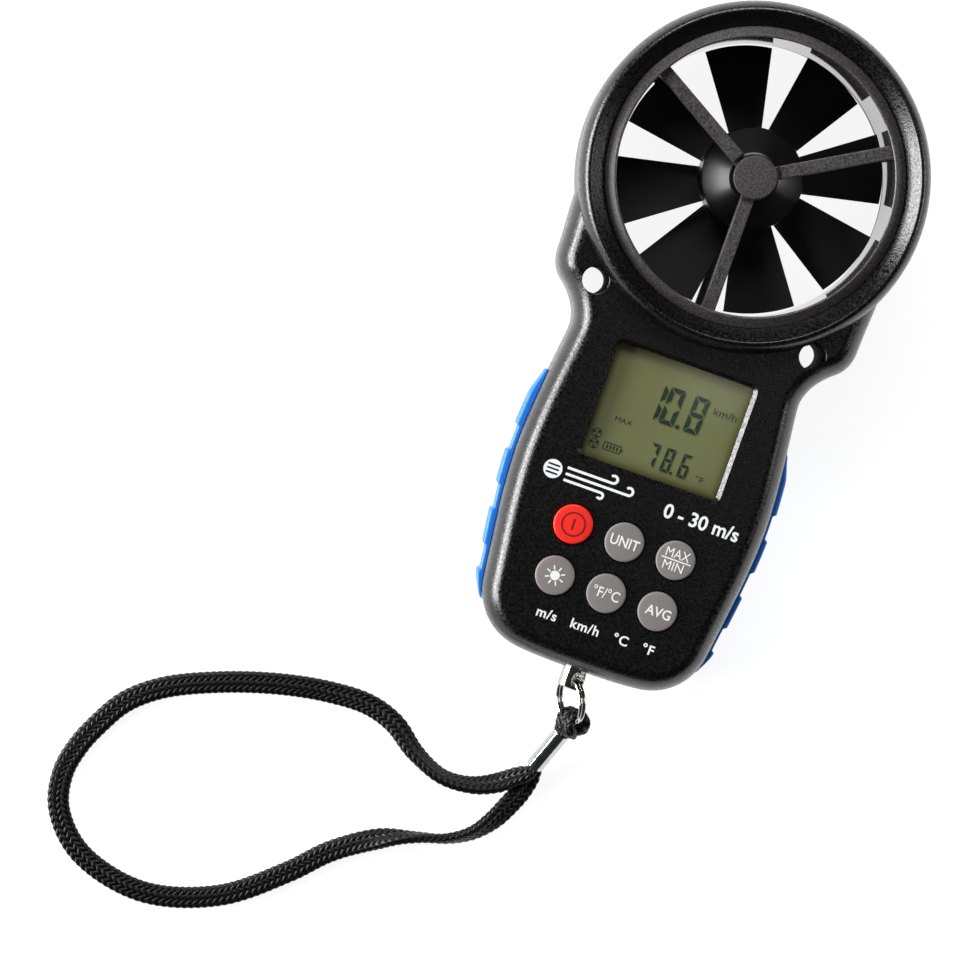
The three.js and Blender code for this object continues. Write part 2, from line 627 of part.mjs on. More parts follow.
piece('display_window', displayWindow(), CLEAR_WINDOW);
piece('lcd_glass', lcdGlass(), LCD_GREEN);
piece('lcd_frame', lcdFrame(), FRAME_WHITE);
piece('backlight_panel', backlight(), BACKLIGHT_WHITE);
piece('zebra_strip', zebraStrip(), DARK_RUBBER);

piece('keypad_membrane', keypadMembrane(), GREY_RUBBER);
for (const place of BUTTONS) {
  piece(place.name, button(place), place.name === 'power_button' ? RED_RUBBER : GREY_RUBBER);
}

piece('main_board', mainBoard(), BOARD_GREEN);
piece('controller_chip', controllerChip(), CHIP_BLACK);
piece('temperature_sensor', temperatureSensor(), CHIP_BLACK);
piece('battery', battery(), BATTERY_SHELL);
piece('battery_snap', batterySnap(), DARK_RUBBER);
piece('battery_lead_red', batteryLead(-1), WIRE_RED);
piece('battery_lead_black', batteryLead(1), WIRE_BLACK);
piece('battery_door', batteryDoor(), BLACK_PLASTIC);
piece('battery_pad', batteryPad(), FOAM);

piece('duct_liner', ductLiner(), BLACK_PLASTIC);
piece('rear_guard', rearGuard(), BLACK_PLASTIC);
piece('hub_cap', hubCap(), BLACK_PLASTIC);
piece('front_bearing', frontBearing(), BRASS);
piece('rear_bearing', rearBearing(), BRASS);
piece('impeller', impeller(), BLACK_PLASTIC);
piece('impeller_shaft', impellerShaft(), STEEL);
piece('hub_magnet', hubMagnet(), MAGNET);
piece('speed_sensor', speedSensor(), CHIP_BLACK);
piece('sensor_cable', sensorCable(), WIRE_BLACK);

SCREWS.forEach((place, i) => piece(`case_screw_${i + 1}`, caseScrew(place), STEEL));
piece('tripod_insert', tripodInsert(), BRASS);
piece('lanyard_post', lanyardPost(), CHROME);
piece('split_ring', splitRing(), CHROME);
piece('strap_eye', strapEye(), BRAID);
piece('strap_ferrule', strapFerrule(), STEEL);
piece('wrist_strap', wristStrap(), BRAID);

export default object;
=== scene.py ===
# Handheld weather meter: the looks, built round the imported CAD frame.
# Shapes are drawn in millimetres about the vane's axis and placed in the frame in metres.
import math
from contextlib import contextmanager

import bmesh
import bpy
import numpy as np
from mathutils import Matrix, Vector


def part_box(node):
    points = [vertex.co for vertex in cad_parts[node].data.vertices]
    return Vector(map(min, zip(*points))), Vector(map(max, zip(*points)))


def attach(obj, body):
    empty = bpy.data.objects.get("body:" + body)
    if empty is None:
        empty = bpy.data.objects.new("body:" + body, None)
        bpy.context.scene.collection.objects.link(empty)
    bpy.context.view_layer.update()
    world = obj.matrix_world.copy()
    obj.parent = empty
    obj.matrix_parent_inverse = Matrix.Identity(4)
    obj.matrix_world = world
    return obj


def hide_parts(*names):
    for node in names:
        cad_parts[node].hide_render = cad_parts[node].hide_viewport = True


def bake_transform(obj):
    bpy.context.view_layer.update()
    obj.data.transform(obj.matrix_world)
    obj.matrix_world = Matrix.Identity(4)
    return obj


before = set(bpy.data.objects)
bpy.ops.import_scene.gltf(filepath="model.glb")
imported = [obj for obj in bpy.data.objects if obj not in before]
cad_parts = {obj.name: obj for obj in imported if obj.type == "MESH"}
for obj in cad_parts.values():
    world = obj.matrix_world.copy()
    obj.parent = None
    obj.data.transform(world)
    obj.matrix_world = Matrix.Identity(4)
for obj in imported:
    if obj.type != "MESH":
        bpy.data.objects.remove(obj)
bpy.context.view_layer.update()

MM = 0.001

# ---- Driving dimensions, in millimetres about the vane's axis ----


def middle_of(name):
    """The middle of a CAD node's box, in metres."""
    low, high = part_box(name)
    return (low + high) / 2


HEAD = middle_of("hub_cap")
HEAD.z = 0
WINDOW_SUNK = 1.4  # how far the window lies under the front face
FACE_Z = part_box("display_window")[1].z / MM + WINDOW_SUNK
PARTING_Z = 19
GAP = 0.3
WALL = 2.4
FRONT_EDGE = (5, 9)  # how far in and how far up the case's rounded edges reach
REAR_EDGE = (4, 6)

RING_R = 41.3
RING_BORE_R = 35.2
DUCT_R = 32.5
BOTTOM_Y = -123.2
EAR_HOLE = {"x": 27.0, "y": -34.95, "r": 3.15, "wall": 1.75, "rim": 0.35}
WINDOW = {"y": -60.5, "width": 33.6, "height": 28.0, "corner": 1.2, "chamfer": 1.1}
BUTTON_R = 4.66
BUTTON_TOP = 32.9
STRUT_WIDTH = 3.2
HUB_R = 12.1
BLADES = 8
BLADE_START = math.radians(24.1)
BLADE_TIP_R = 31.9
BLADE_Z = 13.5
BLADE_DEPTH = 7
BAY = {"x": 17, "top": -60.4, "bottom": -116.0, "wall": 1.2}
DOOR_AXIS = {"y": -61.7, "z": 1.3}
PIN_LONG = 1.2  # how far each hinge pin stands out of the battery door's side
TRIPOD_Y = -51
SCREWS = [(-24.5, -52), (24.5, -52), (-22.6, -111.5), (22.6, -111.5)]
SCREW_HOLE = {"pilot": 1.5, "shaft": 1.6, "head": 2.8}  # radii
GLASS_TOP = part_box("lcd_glass")[1].z / MM
LENS_Z = (29.5, 30.6)
POCKET = {"x": 19.2, "y": 15.6, "z": (25, 30.7)}  # half sizes of the hollow that the window sits in

POST_R = 3.0
POST_TIP_Y = -128.1
HOLE = Vector((0, -125.7, PARTING_Z))  # the cross hole through the lanyard post
HOLE_AXIS = Vector((0.6, 0, 0.8))
HOLE_R = 2.0
RING_LEAN = math.radians(21)
RING_DIRECTION = Vector((
    HOLE_AXIS.z * math.sin(RING_LEAN), -math.cos(RING_LEAN), -HOLE_AXIS.x * math.sin(RING_LEAN)))
SPLIT_RING_R = 5.55
RING_TURN = 7  # degrees about its own long direction
WIRE_R = 0.44
FERRULE_TOP = Vector((2.8, -139.2, 10.4))
FERRULE_END = Vector((-0.35, -149.6, 3.6))
FERRULE_R = 2.15

# ---- Camera ----


def linked(name, data):
    """A new object in the scene."""
    made = bpy.data.objects.new(name, data)
    bpy.context.scene.collection.objects.link(made)
    return made


def make_camera(place, target, up, lens):
    data = bpy.data.cameras.new("camera")
    data.lens = lens
    data.sensor_width = 36
    camera = linked("camera", data)
    back = (Vector(place) - Vector(target)).normalized()
    right = Vector(up).cross(back).normalized()
    turn = Matrix((right, back.cross(right), back)).transposed()
    camera.matrix_world = Matrix.Translation(place) @ turn.to_4x4()
    bpy.context.scene.camera = camera


make_camera(
    place=(-0.0657, -0.0080, 1.0631), target=(-0.0365, -0.0449, 0.0320),
    up=(-0.3342, 0.9415, -0.0432), lens=164.87)

# ---- Meshes ----

TO_FRAME = Matrix.Translation(HEAD) @ Matrix.Scale(MM, 4)


@contextmanager
def edited(*meshes):
    """A bmesh of all the meshes, written to the first of them at the end."""
    bm = bmesh.new()
    for mesh in meshes:
        bm.from_mesh(mesh)
    yield bm
    bm.to_mesh(meshes[0])
    bm.free()


def mesh_of(vertices, faces):
    """A mesh in millimetres, its doubled points merged and its faces turned outwards."""
    mesh = bpy.data.meshes.new("part")
    mesh.from_pydata([tuple(v) for v in vertices], [], [tuple(f) for f in faces])
    return tidied(mesh)


def tidied(mesh, merge=1e-4):
    with edited(mesh) as bm:
        bmesh.ops.remove_doubles(bm, verts=bm.verts, dist=merge)
        bmesh.ops.dissolve_degenerate(bm, edges=bm.edges, dist=merge)
        bmesh.ops.recalc_face_normals(bm, faces=bm.faces)
    return mesh


def joined(*meshes):
    """Several meshes in one, side by side."""
    with edited(*meshes):
        return meshes[0]


def evaluated(holder, *helpers):
    """What an object shows, as a mesh. It and its helpers are then removed."""
    shown = holder.evaluated_get(bpy.context.evaluated_depsgraph_get())
    mesh = bpy.data.meshes.new_from_object(shown)
    for used in (holder, *helpers):
        bpy.data.objects.remove(used)
    return mesh


def moved(mesh, matrix):
    mesh.transform(matrix)
    return mesh


def combined(mesh, operation, *tools):
    """A boolean of the mesh with each tool in turn: UNION, DIFFERENCE or INTERSECT."""
    for tool in tools:
        holder, helper = linked("holder", mesh), linked("helper", tool)
        modifier = holder.modifiers.new("boolean", "BOOLEAN")
        modifier.operation = operation
        modifier.solver = "MANIFOLD"
        modifier.object = helper
        mesh = evaluated(holder, helper)
    return mesh


def cut(mesh, *tools):
    return combined(mesh, "DIFFERENCE", *tools)


def added(mesh, *tools):
    return combined(mesh, "UNION", *tools)


def grid_faces(rows, columns, wrap_rows=False, wrap_columns=False, first=0):
    faces = []
    for i in range(rows if wrap_rows else rows - 1):
        for j in range(columns if wrap_columns else columns - 1):
            a, b = i * columns, (i + 1) % rows * columns
            k = (j + 1) % columns
            faces.append([first + n for n in (a + j, a + k, b + k, b + j)])
    return faces


def capped_faces(rows, columns, first=0):
    """Faces from ring to ring, with one face over each end."""
    last = first + (rows - 1) * columns
    ends = [list(range(first, first + columns))[::-1], list(range(last, last + columns))]
    return grid_faces(rows, columns, wrap_columns=True, first=first) + ends


def unit(vectors):
    return vectors / np.linalg.norm(vectors, axis=-1, keepdims=True)


def smoothstep(value, low, high):
    t = min(1, max(0, (value - low) / (high - low)))
    return t * t * (3 - 2 * t)


def softened(corners, steps=5):
    """A closed outline of (x, y, fillet) corners with each corner turned into an arc."""
    points = [np.array(c[:2], float) for c in corners]
    outline = []
    for i, corner in enumerate(corners):
        here, before, after = points[i], points[i - 1], points[(i + 1) % len(points)]
        fillet = corner[2] if len(corner) > 2 else 0
        if fillet <= 0:
            outline.append(tuple(here))
            continue
        a, b = before - here, after - here
        reach_a, reach_b = np.linalg.norm(a), np.linalg.norm(b)
        a, b = a / reach_a, b / reach_b
        half = math.acos(max(-1, min(1, a @ b))) / 2
        reach = min(fillet / math.tan(half), 0.49 * reach_a, 0.49 * reach_b)
        radius = reach * math.tan(half)
        middle = here + (a + b) / np.linalg.norm(a + b) * radius / math.sin(half)
        start, end = here + a * reach - middle, here + b * reach - middle
        sweep = math.pi - 2 * half
        sign = np.sign(start[0] * end[1] - start[1] * end[0])
        for k in range(steps + 1):
            t = sign * sweep * k / steps
            c, s = math.cos(t), math.sin(t)
            outline.append(tuple(middle + (c * start[0] - s * start[1], s * start[0] + c * start[1])))
    return outline


def turned(corners, steps=192, x=0, y=0, arc=5):
    """Turned about Z from a closed profile of (radius, z, fillet) corners."""
    profile = softened(corners, arc)
    points = []
    for i in range(steps):
        a = 2 * math.pi * i / steps
        points += [(x + r * math.cos(a), y + r * math.sin(a), z) for r, z in profile]
    return mesh_of(points, grid_faces(steps, len(profile), True, True))


def along(mesh, axis, place):
    """A mesh drawn about Z, turned to lie along axis and moved to place."""
    turn = Vector((0, 0, 1)).rotation_difference(Vector(axis)).to_matrix().to_4x4()
    return moved(mesh, Matrix.Translation(place) @ turn)


def quarter(steps):
    """The shares across and up of points on a quarter round."""
    return [(1 - math.cos(t), 1 - math.sin(t)) for t in np.linspace(0, math.pi / 2, steps + 1)]


def prism(outline, z_range, rounding=0.0, bottom=0.0):
    """An outline drawn up through z_range, its top and bottom edges rounded."""
    z0, z1 = z_range
    levels = [(bottom * up, z0 + bottom * across) for across, up in quarter(3)]
    levels += [(rounding * across, z1 - rounding * up) for across, up in quarter(3)]
    return stacked(outline, levels)


def stacked(outline, levels):
    """A closed body from an outline, moved inwards by an inset at each of the levels."""
    rings = [inset(outline, d) for d, _ in levels]
    points = [(x, y, z) for ring, (_, z) in zip(rings, levels) for x, y in ring]
    return mesh_of(points, capped_faces(len(levels), len(outline)))


def inset(outline, distance):
    """The outline moved inwards. It runs counter-clockwise."""
    p = np.array(outline, float)
    if distance == 0:
        return p
    ahead = np.roll(p, -1, 0) - p
    ahead /= np.maximum(np.linalg.norm(ahead, axis=1), 1e-9)[:, None]
    normal = np.stack([-ahead[:, 1], ahead[:, 0]], 1)
    behind = np.roll(normal, 1, 0)
    middle = normal + behind
    share = np.maximum((middle * middle).sum(1) / 2, 0.3)
    return p + middle / share[:, None] * distance


def rounded_rectangle(x_range, y_range, corner):
    (x0, x1), (y0, y1) = x_range, y_range
    return softened([(x0, y0, corner), (x1, y0, corner), (x1, y1, corner), (x0, y1, corner)], 6)


def block(x_range, y_range, z_range, corner=0.3, rounding=0.2, bottom=0.0):
    return prism(rounded_rectangle(x_range, y_range, corner), z_range, rounding, bottom)


def pillar(r, z_range, x=0, y=0, steps=48):
    z0, z1 = z_range
    return turned([(0, z0), (r, z0), (r, z1), (0, z1)], steps, x, y)


def tube(route, radius, sides):
    """A round tube along points that lie close together, its ends capped."""
    route = np.array(route, float)
    ahead = unit(np.gradient(route, axis=0))
    side = np.cross(ahead[0], (0.3, 0.5, 0.8))
    points = []
    for place, forward in zip(route, ahead):
        side = unit(side - (side @ forward) * forward)
        other = np.cross(forward, side)
        for a in 2 * math.pi * np.arange(sides) / sides:
            points.append(place + radius * (math.cos(a) * side + math.sin(a) * other))
    return mesh_of(points, capped_faces(len(route), sides))


def evenly(points, spacing=None, count=None):
    """Points evenly spaced along the line through the given ones."""
    reach = np.concatenate([[0], np.cumsum(np.linalg.norm(np.diff(points, axis=0), axis=1))])
    even = np.linspace(0, reach[-1], count or round(reach[-1] / spacing) + 1)
    return np.stack([np.interp(even, reach, column) for column in np.transpose(points)], 1)


def smooth_route(points, spacing):
    """Points spacing apart on a centripetal Catmull-Rom curve through the given ones."""
    p = [np.array(q, float) for q in points]
    p = [2 * p[0] - p[1], *p, 2 * p[-1] - p[-2]]
    curve = []

    def mix(t, t0, a, t1, b):
        return ((t1 - t) * a + (t - t0) * b) / (t1 - t0)

    for a, b, c, d in zip(p, p[1:], p[2:], p[3:]):
        t0, t1, t2, t3 = np.cumsum([
            0, *(np.linalg.norm(v - u) ** 0.5 for u, v in ((a, b), (b, c), (c, d)))])
        for t in np.linspace(t1, t2, 24, endpoint=False):
            ab, bc, cd = mix(t, t0, a, t1, b), mix(t, t1, b, t2, c), mix(t, t2, c, t3, d)
            curve.append(mix(t, t1, mix(t, t0, ab, t2, bc), t2, mix(t, t1, bc, t3, cd)))
    curve.append(p[-2])
    return evenly(curve, spacing)


# ---- Pieces ----


def piece(name, mesh, material, body, replaces=(), sharp=32, weighted=True):
    """A mesh in millimetres as a finished piece in the frame. Edges bent past sharp degrees show."""
    mesh.name = name
    mesh.transform(TO_FRAME)
    mesh.materials.clear()
    mesh.materials.append(material)
    with edited(mesh) as bm:
        for face in bm.faces:
            face.smooth = True
            face.material_index = 0
        for edge in bm.edges:
            edge.smooth = edge.is_manifold and edge.calc_face_angle() < math.radians(sharp)
    made = linked(name, mesh)
    if weighted:
        made.modifiers.new("normals", "WEIGHTED_NORMAL").keep_sharp = True
    if body:
        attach(made, body)
    if replaces:
        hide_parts(*replaces)
    return made


# ---- Materials ----


def srgb(red, green, blue):
    def linear(v):
        v /= 255
        return v / 12.92 if v <= 0.04045 else ((v + 0.055) / 1.055) ** 2.4
    return (linear(red), linear(green), linear(blue), 1)


class Look:
    """A node material: a Principled shader whose colour, roughness and bump come from noise."""

    def __init__(self, name, roughness=0.5, metallic=0.0, specular=0.5):
        self.material = bpy.data.materials.new(name)
        self.material.use_nodes = True
        self.tree = self.material.node_tree
        self.shader = self.tree.nodes["Principled BSDF"]
        self.fill(self.shader, {
            "Roughness": roughness, "Metallic": metallic, "Specular IOR Level": specular})
        self.place = self.node("TexCoord").outputs["Object"]
        self.height = None

    def fill(self, node, inputs):
        """Set each of the node's inputs to its value, or link it where that is a socket."""
        for name, value in inputs.items():
            if isinstance(value, bpy.types.NodeSocket):
                self.tree.links.new(value, node.inputs[name])
            else:
                node.inputs[name].default_value = value

    def node(self, kind, inputs=(), **settings):
        made = self.tree.nodes.new("ShaderNode" + kind)
        for name, value in settings.items():
            setattr(made, name, value)
        self.fill(made, dict(inputs))
        return made

    def work_out(self, operation, *inputs, **settings):
        made = self.node("Math", enumerate(inputs), operation=operation, **settings)
        return made.outputs["Value"]

    def noise(self, size_mm, detail=2.0, stretch=(1, 1, 1)):
        """Noise with grains of about that size, from 0 to 1."""
        place = self.node("Mapping", {"Vector": self.place, "Scale": stretch}).outputs["Vector"]
        scale = 1 / (size_mm * MM)
        return self.node("TexNoise", {"Vector": place, "Scale": scale, "Detail": detail}).outputs["Fac"]

    def radius(self):
        """How far a point is from the vane's axis, in metres."""
        place = self.place
        for operation, other in (("SUBTRACT", HEAD), ("MULTIPLY", (1, 1, 0))):
            place = self.node("VectorMath", {0: place, 1: other}, operation=operation).outputs["Vector"]
        return self.node("VectorMath", {0: place}, operation="LENGTH").outputs["Value"]

    def between(self, value, low, high, from_low=0.3, from_high=0.7):
        return self.node("MapRange", {
            "Value": value, "From Min": from_low, "From Max": from_high, "To Min": low,
            "To Max": high}).outputs["Result"]

    def colours(self, value, *stops):
        """The base colour: a ramp of (position, sRGB colour) stops read at value."""
        ramp = self.node("ValToRGB", {"Fac": value})
        while len(ramp.color_ramp.elements) < len(stops):
            ramp.color_ramp.elements.new(0.5)
        for element, (position, colour) in zip(ramp.color_ramp.elements, stops):
            element.position = position
            element.color = srgb(*colour)
        self.fill(self.shader, {"Base Color": ramp.outputs["Color"]})

    def rough(self, value, low, high, from_low=0.3, from_high=0.7):
        self.fill(self.shader, {"Roughness": self.between(value, low, high, from_low, from_high)})

    def bump(self, value, depth_mm, strength=1.0):
        inputs = {"Height": value, "Distance": depth_mm * MM, "Strength": strength}
        if self.height:
            inputs["Normal"] = self.height
        self.height = self.node("Bump", inputs).outputs["Normal"]
        self.fill(self.shader, {"Normal": self.height})

    def surface(self, share, low, high):
        """Show the shader low where share is 0, and high where it is 1."""
        mix = self.node("MixShader", {"Fac": share, 1: low.outputs["BSDF"], 2: high.outputs["BSDF"]})
        self.fill(self.tree.nodes["Material Output"], {"Surface": mix.outputs["Shader"]})


def moulded(name, dark, light, roughness, grain_mm=0.28, grain_depth=0.018, specular=0.5):
    """Moulded plastic or rubber with a spark-eroded grain."""
    look = Look(name, specular=specular)
    look.colours(look.noise(grain_mm, 4), (0.3, dark), (0.7, light))
    look.rough(look.noise(grain_mm * 1.3, 3), roughness - 0.12, roughness + 0.18)
    look.bump(look.noise(grain_mm, 2), grain_depth)
    return look.material


def metal(name, dark, light, roughness, scratch_depth=0.0015):
    """Metal with fine turning marks, which lie across Z."""
    look = Look(name, metallic=1.0)
    stretch = (1, 1, 6)
    look.colours(look.noise(3, 3), (0.3, dark), (0.7, light))
    look.rough(look.noise(1.5, 4, stretch), roughness * 0.7, roughness * 1.4)
    look.bump(look.noise(0.25, 2, stretch), scratch_depth)
    return look.material


def duct_material():
    """Satin grained plastic, but smooth and shiny on the wall of the bore."""
    look = Look("duct_black")
    look.colours(look.noise(0.4, 3), (0.33, (30, 29, 30)), (0.67, (88, 85, 86)))
    wall = look.work_out("COMPARE", look.radius(), DUCT_R * MM, 0.12 * MM)
    look.rough(wall, 0.42, 0.07, 0, 1)
    look.bump(look.noise(0.3, 2), 0.03, look.between(wall, 1, 0.03, 0, 1))
    return look.material


def vane_material():
    """Black plastic, satin on the hub and matt on the blades."""
    look = Look("vane_black", specular=0.6)
    look.colours(look.noise(0.5, 2), (0.3, (1, 1, 2)), (0.7, (4, 4, 5)))
    hub = (HUB_R + 0.1) * MM
    look.rough(look.radius(), 0.30, 0.85, hub, hub + 0.5 * MM)
    look.bump(look.noise(0.4, 2), 0.012)
    return look.material


def display_material():
    """Grey-green liquid crystal, its edges darkened and browned by painted shade from the bezel."""
    look = Look("display_glass", roughness=0.25, specular=0.4)
    middle = middle_of("lcd_glass")
    apart = look.node("SeparateXYZ", {"Vector": look.place})
    # edges: a mask rising towards the glass's edges, where painted shade from the bezel is laid on.
    edges = []
    for axis, size in enumerate((WINDOW["width"], WINDOW["height"])):
        away = look.work_out("ABSOLUTE", look.work_out("SUBTRACT", apart.outputs[axis], middle[axis]))
        edges.append(look.between(away, 0, 1, (size / 2 - 3.0) * MM, (size / 2 + 0.6) * MM))
    cloud = look.between(look.noise(14, 2), -0.06, 0.10)
    # The ramp's darker, browner stops are painted bezel shade at the edges; the cloud is the glass's own
    # uneven tone.
    look.colours(
        look.work_out("ADD", look.work_out("MAXIMUM", *edges), cloud, use_clamp=True),
        (0.0, (129, 131, 92)), (0.45, (123, 125, 86)), (0.8, (100, 94, 60)), (1.0, (50, 42, 28)))
    return look.material


def clear_material():
    """Clear plastic: what lies behind shows through, and the surface reflects."""
    look = Look("clear_plastic")
    ripple = look.node("Bump", {"Height": look.noise(2.5, 2), "Distance": 0.004 * MM})
    front = look.work_out("SUBTRACT", 1, look.node("NewGeometry").outputs["Backfacing"])
    edge = look.node("Fresnel", {"IOR": 1.45}).outputs["Fac"]
    look.surface(
        look.work_out("MULTIPLY", edge, front),
        look.node("BsdfTransparent", {"Color": (0.96, 0.97, 0.95, 1)}),
        look.node("BsdfGlossy", {"Roughness": 0.06, "Normal": ripple.outputs["Normal"]}))
    return look.material


def board_material():
    """Green solder mask with faint copper tracks under it."""
    look = Look("circuit_board", roughness=0.35)
    tracks = look.node("TexBrick", {
        "Vector": look.place, "Scale": 1 / (4 * MM), "Mortar Size": 0.06}).outputs["Fac"]
    look.colours(tracks, (0.0, (20, 78, 44)), (1.0, (46, 118, 70)))
    look.bump(tracks, 0.03)
    look.bump(look.noise(1.2, 3), 0.02)
    return look.material


# Dark and light colour and roughness, then the grain's size and depth in millimetres.
CASE_BLACK = moulded("case_black", (0, 0, 0), (8, 8, 8), 0.26, 0.5, 0.055, 0.6)
HOLE_BLACK = moulded("hole_black", (1, 1, 1), (7, 7, 7), 0.8, 0.5, 0.055, 0.1)
DUCT_BLACK = duct_material()
VANE_BLACK = vane_material()
GRIP_BLUE = moulded("grip_blue", (14, 96, 190), (24, 116, 210), 0.40, 0.3, 0.010)
BUTTON_GREY = moulded("button_grey", (122, 116, 115), (134, 128, 126), 0.55, 0.2, 0.010)
BUTTON_RED = moulded("button_red", (236, 34, 24), (250, 44, 32), 0.45, 0.2, 0.008)
LEGEND_RED = moulded("legend_dark_red", (110, 10, 12), (130, 16, 16), 0.5, 0.2, 0.004)
PRINT_WHITE = moulded("print_white", (236, 237, 238), (248, 249, 250), 0.5, 0.15, 0.004)
# segment_shade: the colour of the digits' painted shadow, a little darker than the liquid crystal.
SEGMENT_SHADE = moulded("segment_shade", (103, 105, 72), (109, 111, 76), 0.35, 0.3, 0.001, 0.3)
SEGMENT_DARK = moulded("segment_dark", (40, 54, 46), (48, 62, 52), 0.35, 0.3, 0.001, 0.3)
RUBBER_DARK = moulded("rubber_dark", (34, 34, 35), (44, 44, 45), 0.65)
MEMBRANE_GREY = moulded("membrane_grey", (150, 148, 146), (166, 164, 162), 0.6)
FRAME_WHITE = moulded("frame_white", (206, 206, 200), (222, 222, 216), 0.5)
LIGHT_GUIDE = moulded("light_guide", (222, 228, 222), (236, 240, 236), 0.3)
CHIP_BLACK = moulded("chip_black", (18, 18, 19), (26, 26, 27), 0.5, 0.12, 0.006)
FOAM = moulded("foam", (46, 46, 47), (66, 66, 66), 0.9, 0.5, 0.25)
WIRE_RED = moulded("wire_red", (168, 20, 20), (190, 28, 26), 0.4)
WIRE_BLACK = moulded("wire_black", (18, 18, 18), (28, 28, 28), 0.4)
CELL_SHELL = moulded("cell_shell", (40, 44, 50), (58, 62, 68), 0.3, 1.5, 0.004)
BRAID_BLACK = moulded("braid_black", (0, 0, 1), (4, 4, 5), 0.36, 0.12, 0.008, 0.3)
CHROME = metal("chrome", (196, 194, 190), (212, 211, 208), 0.09, 0.0006)
FERRULE_METAL = metal("ferrule_metal", (192, 193, 196), (208, 209, 212), 0.12, 0.001)
STEEL = metal("steel", (150, 152, 156), (184, 186, 190), 0.3)
BRASS = metal("brass", (176, 138, 66), (200, 162, 88), 0.3)
MAGNET = metal("magnet", (70, 72, 76), (96, 98, 102), 0.45)
DISPLAY = display_material()
CLEAR = clear_material()
BOARD = board_material()

# ---- Wrist strap, its eye and its ferrule ----

ROWS = 10  # rows of yarn floats round the braid, and yarns each way
FLAT = {"wide": 2.3, "thick": 0.78}  # half sizes of the line that the yarns follow
YARN = {"wide": 0.50, "thick": 0.27, "weave": 0.20, "lay": 15.7}


def flat_section(fraction):
    """Places and normals round a flat section with round ends, at fractions of its girth."""
    r = FLAT["thick"]
    straight = 2 * (FLAT["wide"] - r)
    half_girth = straight + math.pi * r
    side, reach = np.divmod(fraction * 2 * half_girth, half_girth)
    angle = np.pi / 2 - np.maximum(reach - straight, 0) / r
    normal = np.stack([np.cos(angle), np.sin(angle)], 1)
    flat = np.minimum(reach, straight) - straight / 2
    sign = np.where(side % 2, -1.0, 1.0)[:, None]
    return (np.stack([flat, 0 * flat], 1) + r * normal) * sign, normal * sign


def braid(route, wide, widths, thicks, yarn=1.0):
    """A flat braid: each yarn passes over two others and under two, round a thin core."""
    ahead = unit(np.gradient(route, axis=0))
    wide = unit(wide - (wide * ahead).sum(1, keepdims=True) * ahead)
    thin = np.cross(ahead, wide)
    reach = np.arange(len(route)) * np.linalg.norm(np.diff(route, axis=0), axis=1).mean()
    squeeze = yarn * np.sqrt(widths)[:, None]
    strands = []  # each is the lines that run along one strand's surface
    for hand in (1, -1):  # yarns that run round one way, then the other
        for k in range(ROWS):
            fraction = k / ROWS + hand * reach / (YARN["lay"] * yarn)
            place, out = flat_section(fraction)
            rise = hand * YARN["weave"] * np.sin(np.pi * ROWS * fraction)
            x = place[:, 0] * widths + out[:, 0] * rise
            y = place[:, 1] * thicks + out[:, 1] * rise
            line = route + wide * x[:, None] + thin * y[:, None]
            forward = unit(np.gradient(line, axis=0))
            side = unit(np.cross(forward, wide * out[:, :1] + thin * out[:, 1:]))
            normal = np.cross(side, forward)
            strands.append([
                line + side * squeeze * YARN["wide"] * math.cos(a) + normal * YARN["thick"] * math.sin(a)
                for a in 2 * math.pi * np.arange(6) / 6])
    core, _ = flat_section(np.arange(12) / 12)
    strands.append([
        route + wide * (0.93 * widths * x)[:, None] + thin * (0.8 * thicks * y)[:, None]
        for x, y in core])
    faces, first = [], 0
    for strand in strands:
        faces += capped_faces(len(route), len(strand), first)
        first += len(route) * len(strand)
    points = np.concatenate([np.stack(strand, 1).reshape(-1, 3) for strand in strands])
    mesh = bpy.data.meshes.new("braid")
    mesh.from_pydata(points.tolist(), [], faces)
    with edited(mesh) as bm:
        bmesh.ops.recalc_face_normals(bm, faces=bm.faces)
    return mesh


# The route in metres, about the vane's axis: out of the ferrule, round, and back into it.
STRAP_Z = 0.0016
STRAP_ROUTE = [
    (-0.0010, -0.1516, 0.0046), (-0.0036, -0.1536, 0.0038), (-0.0072, -0.1566, 0.0032),
    (-0.0130, -0.1593, 0.0026), (-0.0205, -0.1598, 0.0028), (-0.0286, -0.1565, 0.0029),
    (-0.0357, -0.1516, 0.0023), (-0.0430, -0.1494, STRAP_Z), (-0.0530, -0.1497, STRAP_Z),
    (-0.0650, -0.1519, STRAP_Z), (-0.0788, -0.1563, STRAP_Z), (-0.0915, -0.1623, STRAP_Z),
    (-0.0988, -0.1685, STRAP_Z), (-0.1030, -0.1755, STRAP_Z), (-0.1058, -0.1820, STRAP_Z),
    (-0.1072, -0.1895, STRAP_Z), (-0.1053, -0.1980, STRAP_Z), (-0.0970, -0.2065, STRAP_Z),
    (-0.0800, -0.2105, STRAP_Z), (-0.0620, -0.2053, STRAP_Z), (-0.0480, -0.1943, STRAP_Z),
    (-0.0402, -0.1863, 0.0020), (-0.0330, -0.1810, 0.0028), (-0.0268, -0.1776, 0.0030),
    (-0.0207, -0.1755, 0.0030), (-0.0145, -0.1736, 0.0026), (-0.0092, -0.1703, 0.0019),
    (-0.0054, -0.1656, STRAP_Z), (-0.0026, -0.1600, STRAP_Z), (-0.0006, -0.1550, STRAP_Z),
    (0.0001, -0.1509, STRAP_Z),
]
# How far the braid is rolled from lying flat, in degrees, at distances from each end.
ROLL_FROM_START = [
    (0, 10), (7, 24), (12, 42), (18, 60), (24, 66), (31, 58), (37, 36), (45, 12), (60, 0)]
ROLL_FROM_END = [
    (0, -6), (12, 10), (18, 36), (23, 60), (30, 76), (37, 92), (42, 115), (48, 158), (54, 178),
    (60, 180)]
BRAID_STEP = 0.39
STRAP_INSIDE = 3.0  # how far each end runs up into the ferrule


def smoothed(values):
    """Each value as the mean of itself and six on either side."""
    return np.convolve(np.pad(values, 6, "edge"), np.ones(13) / 13, "valid")


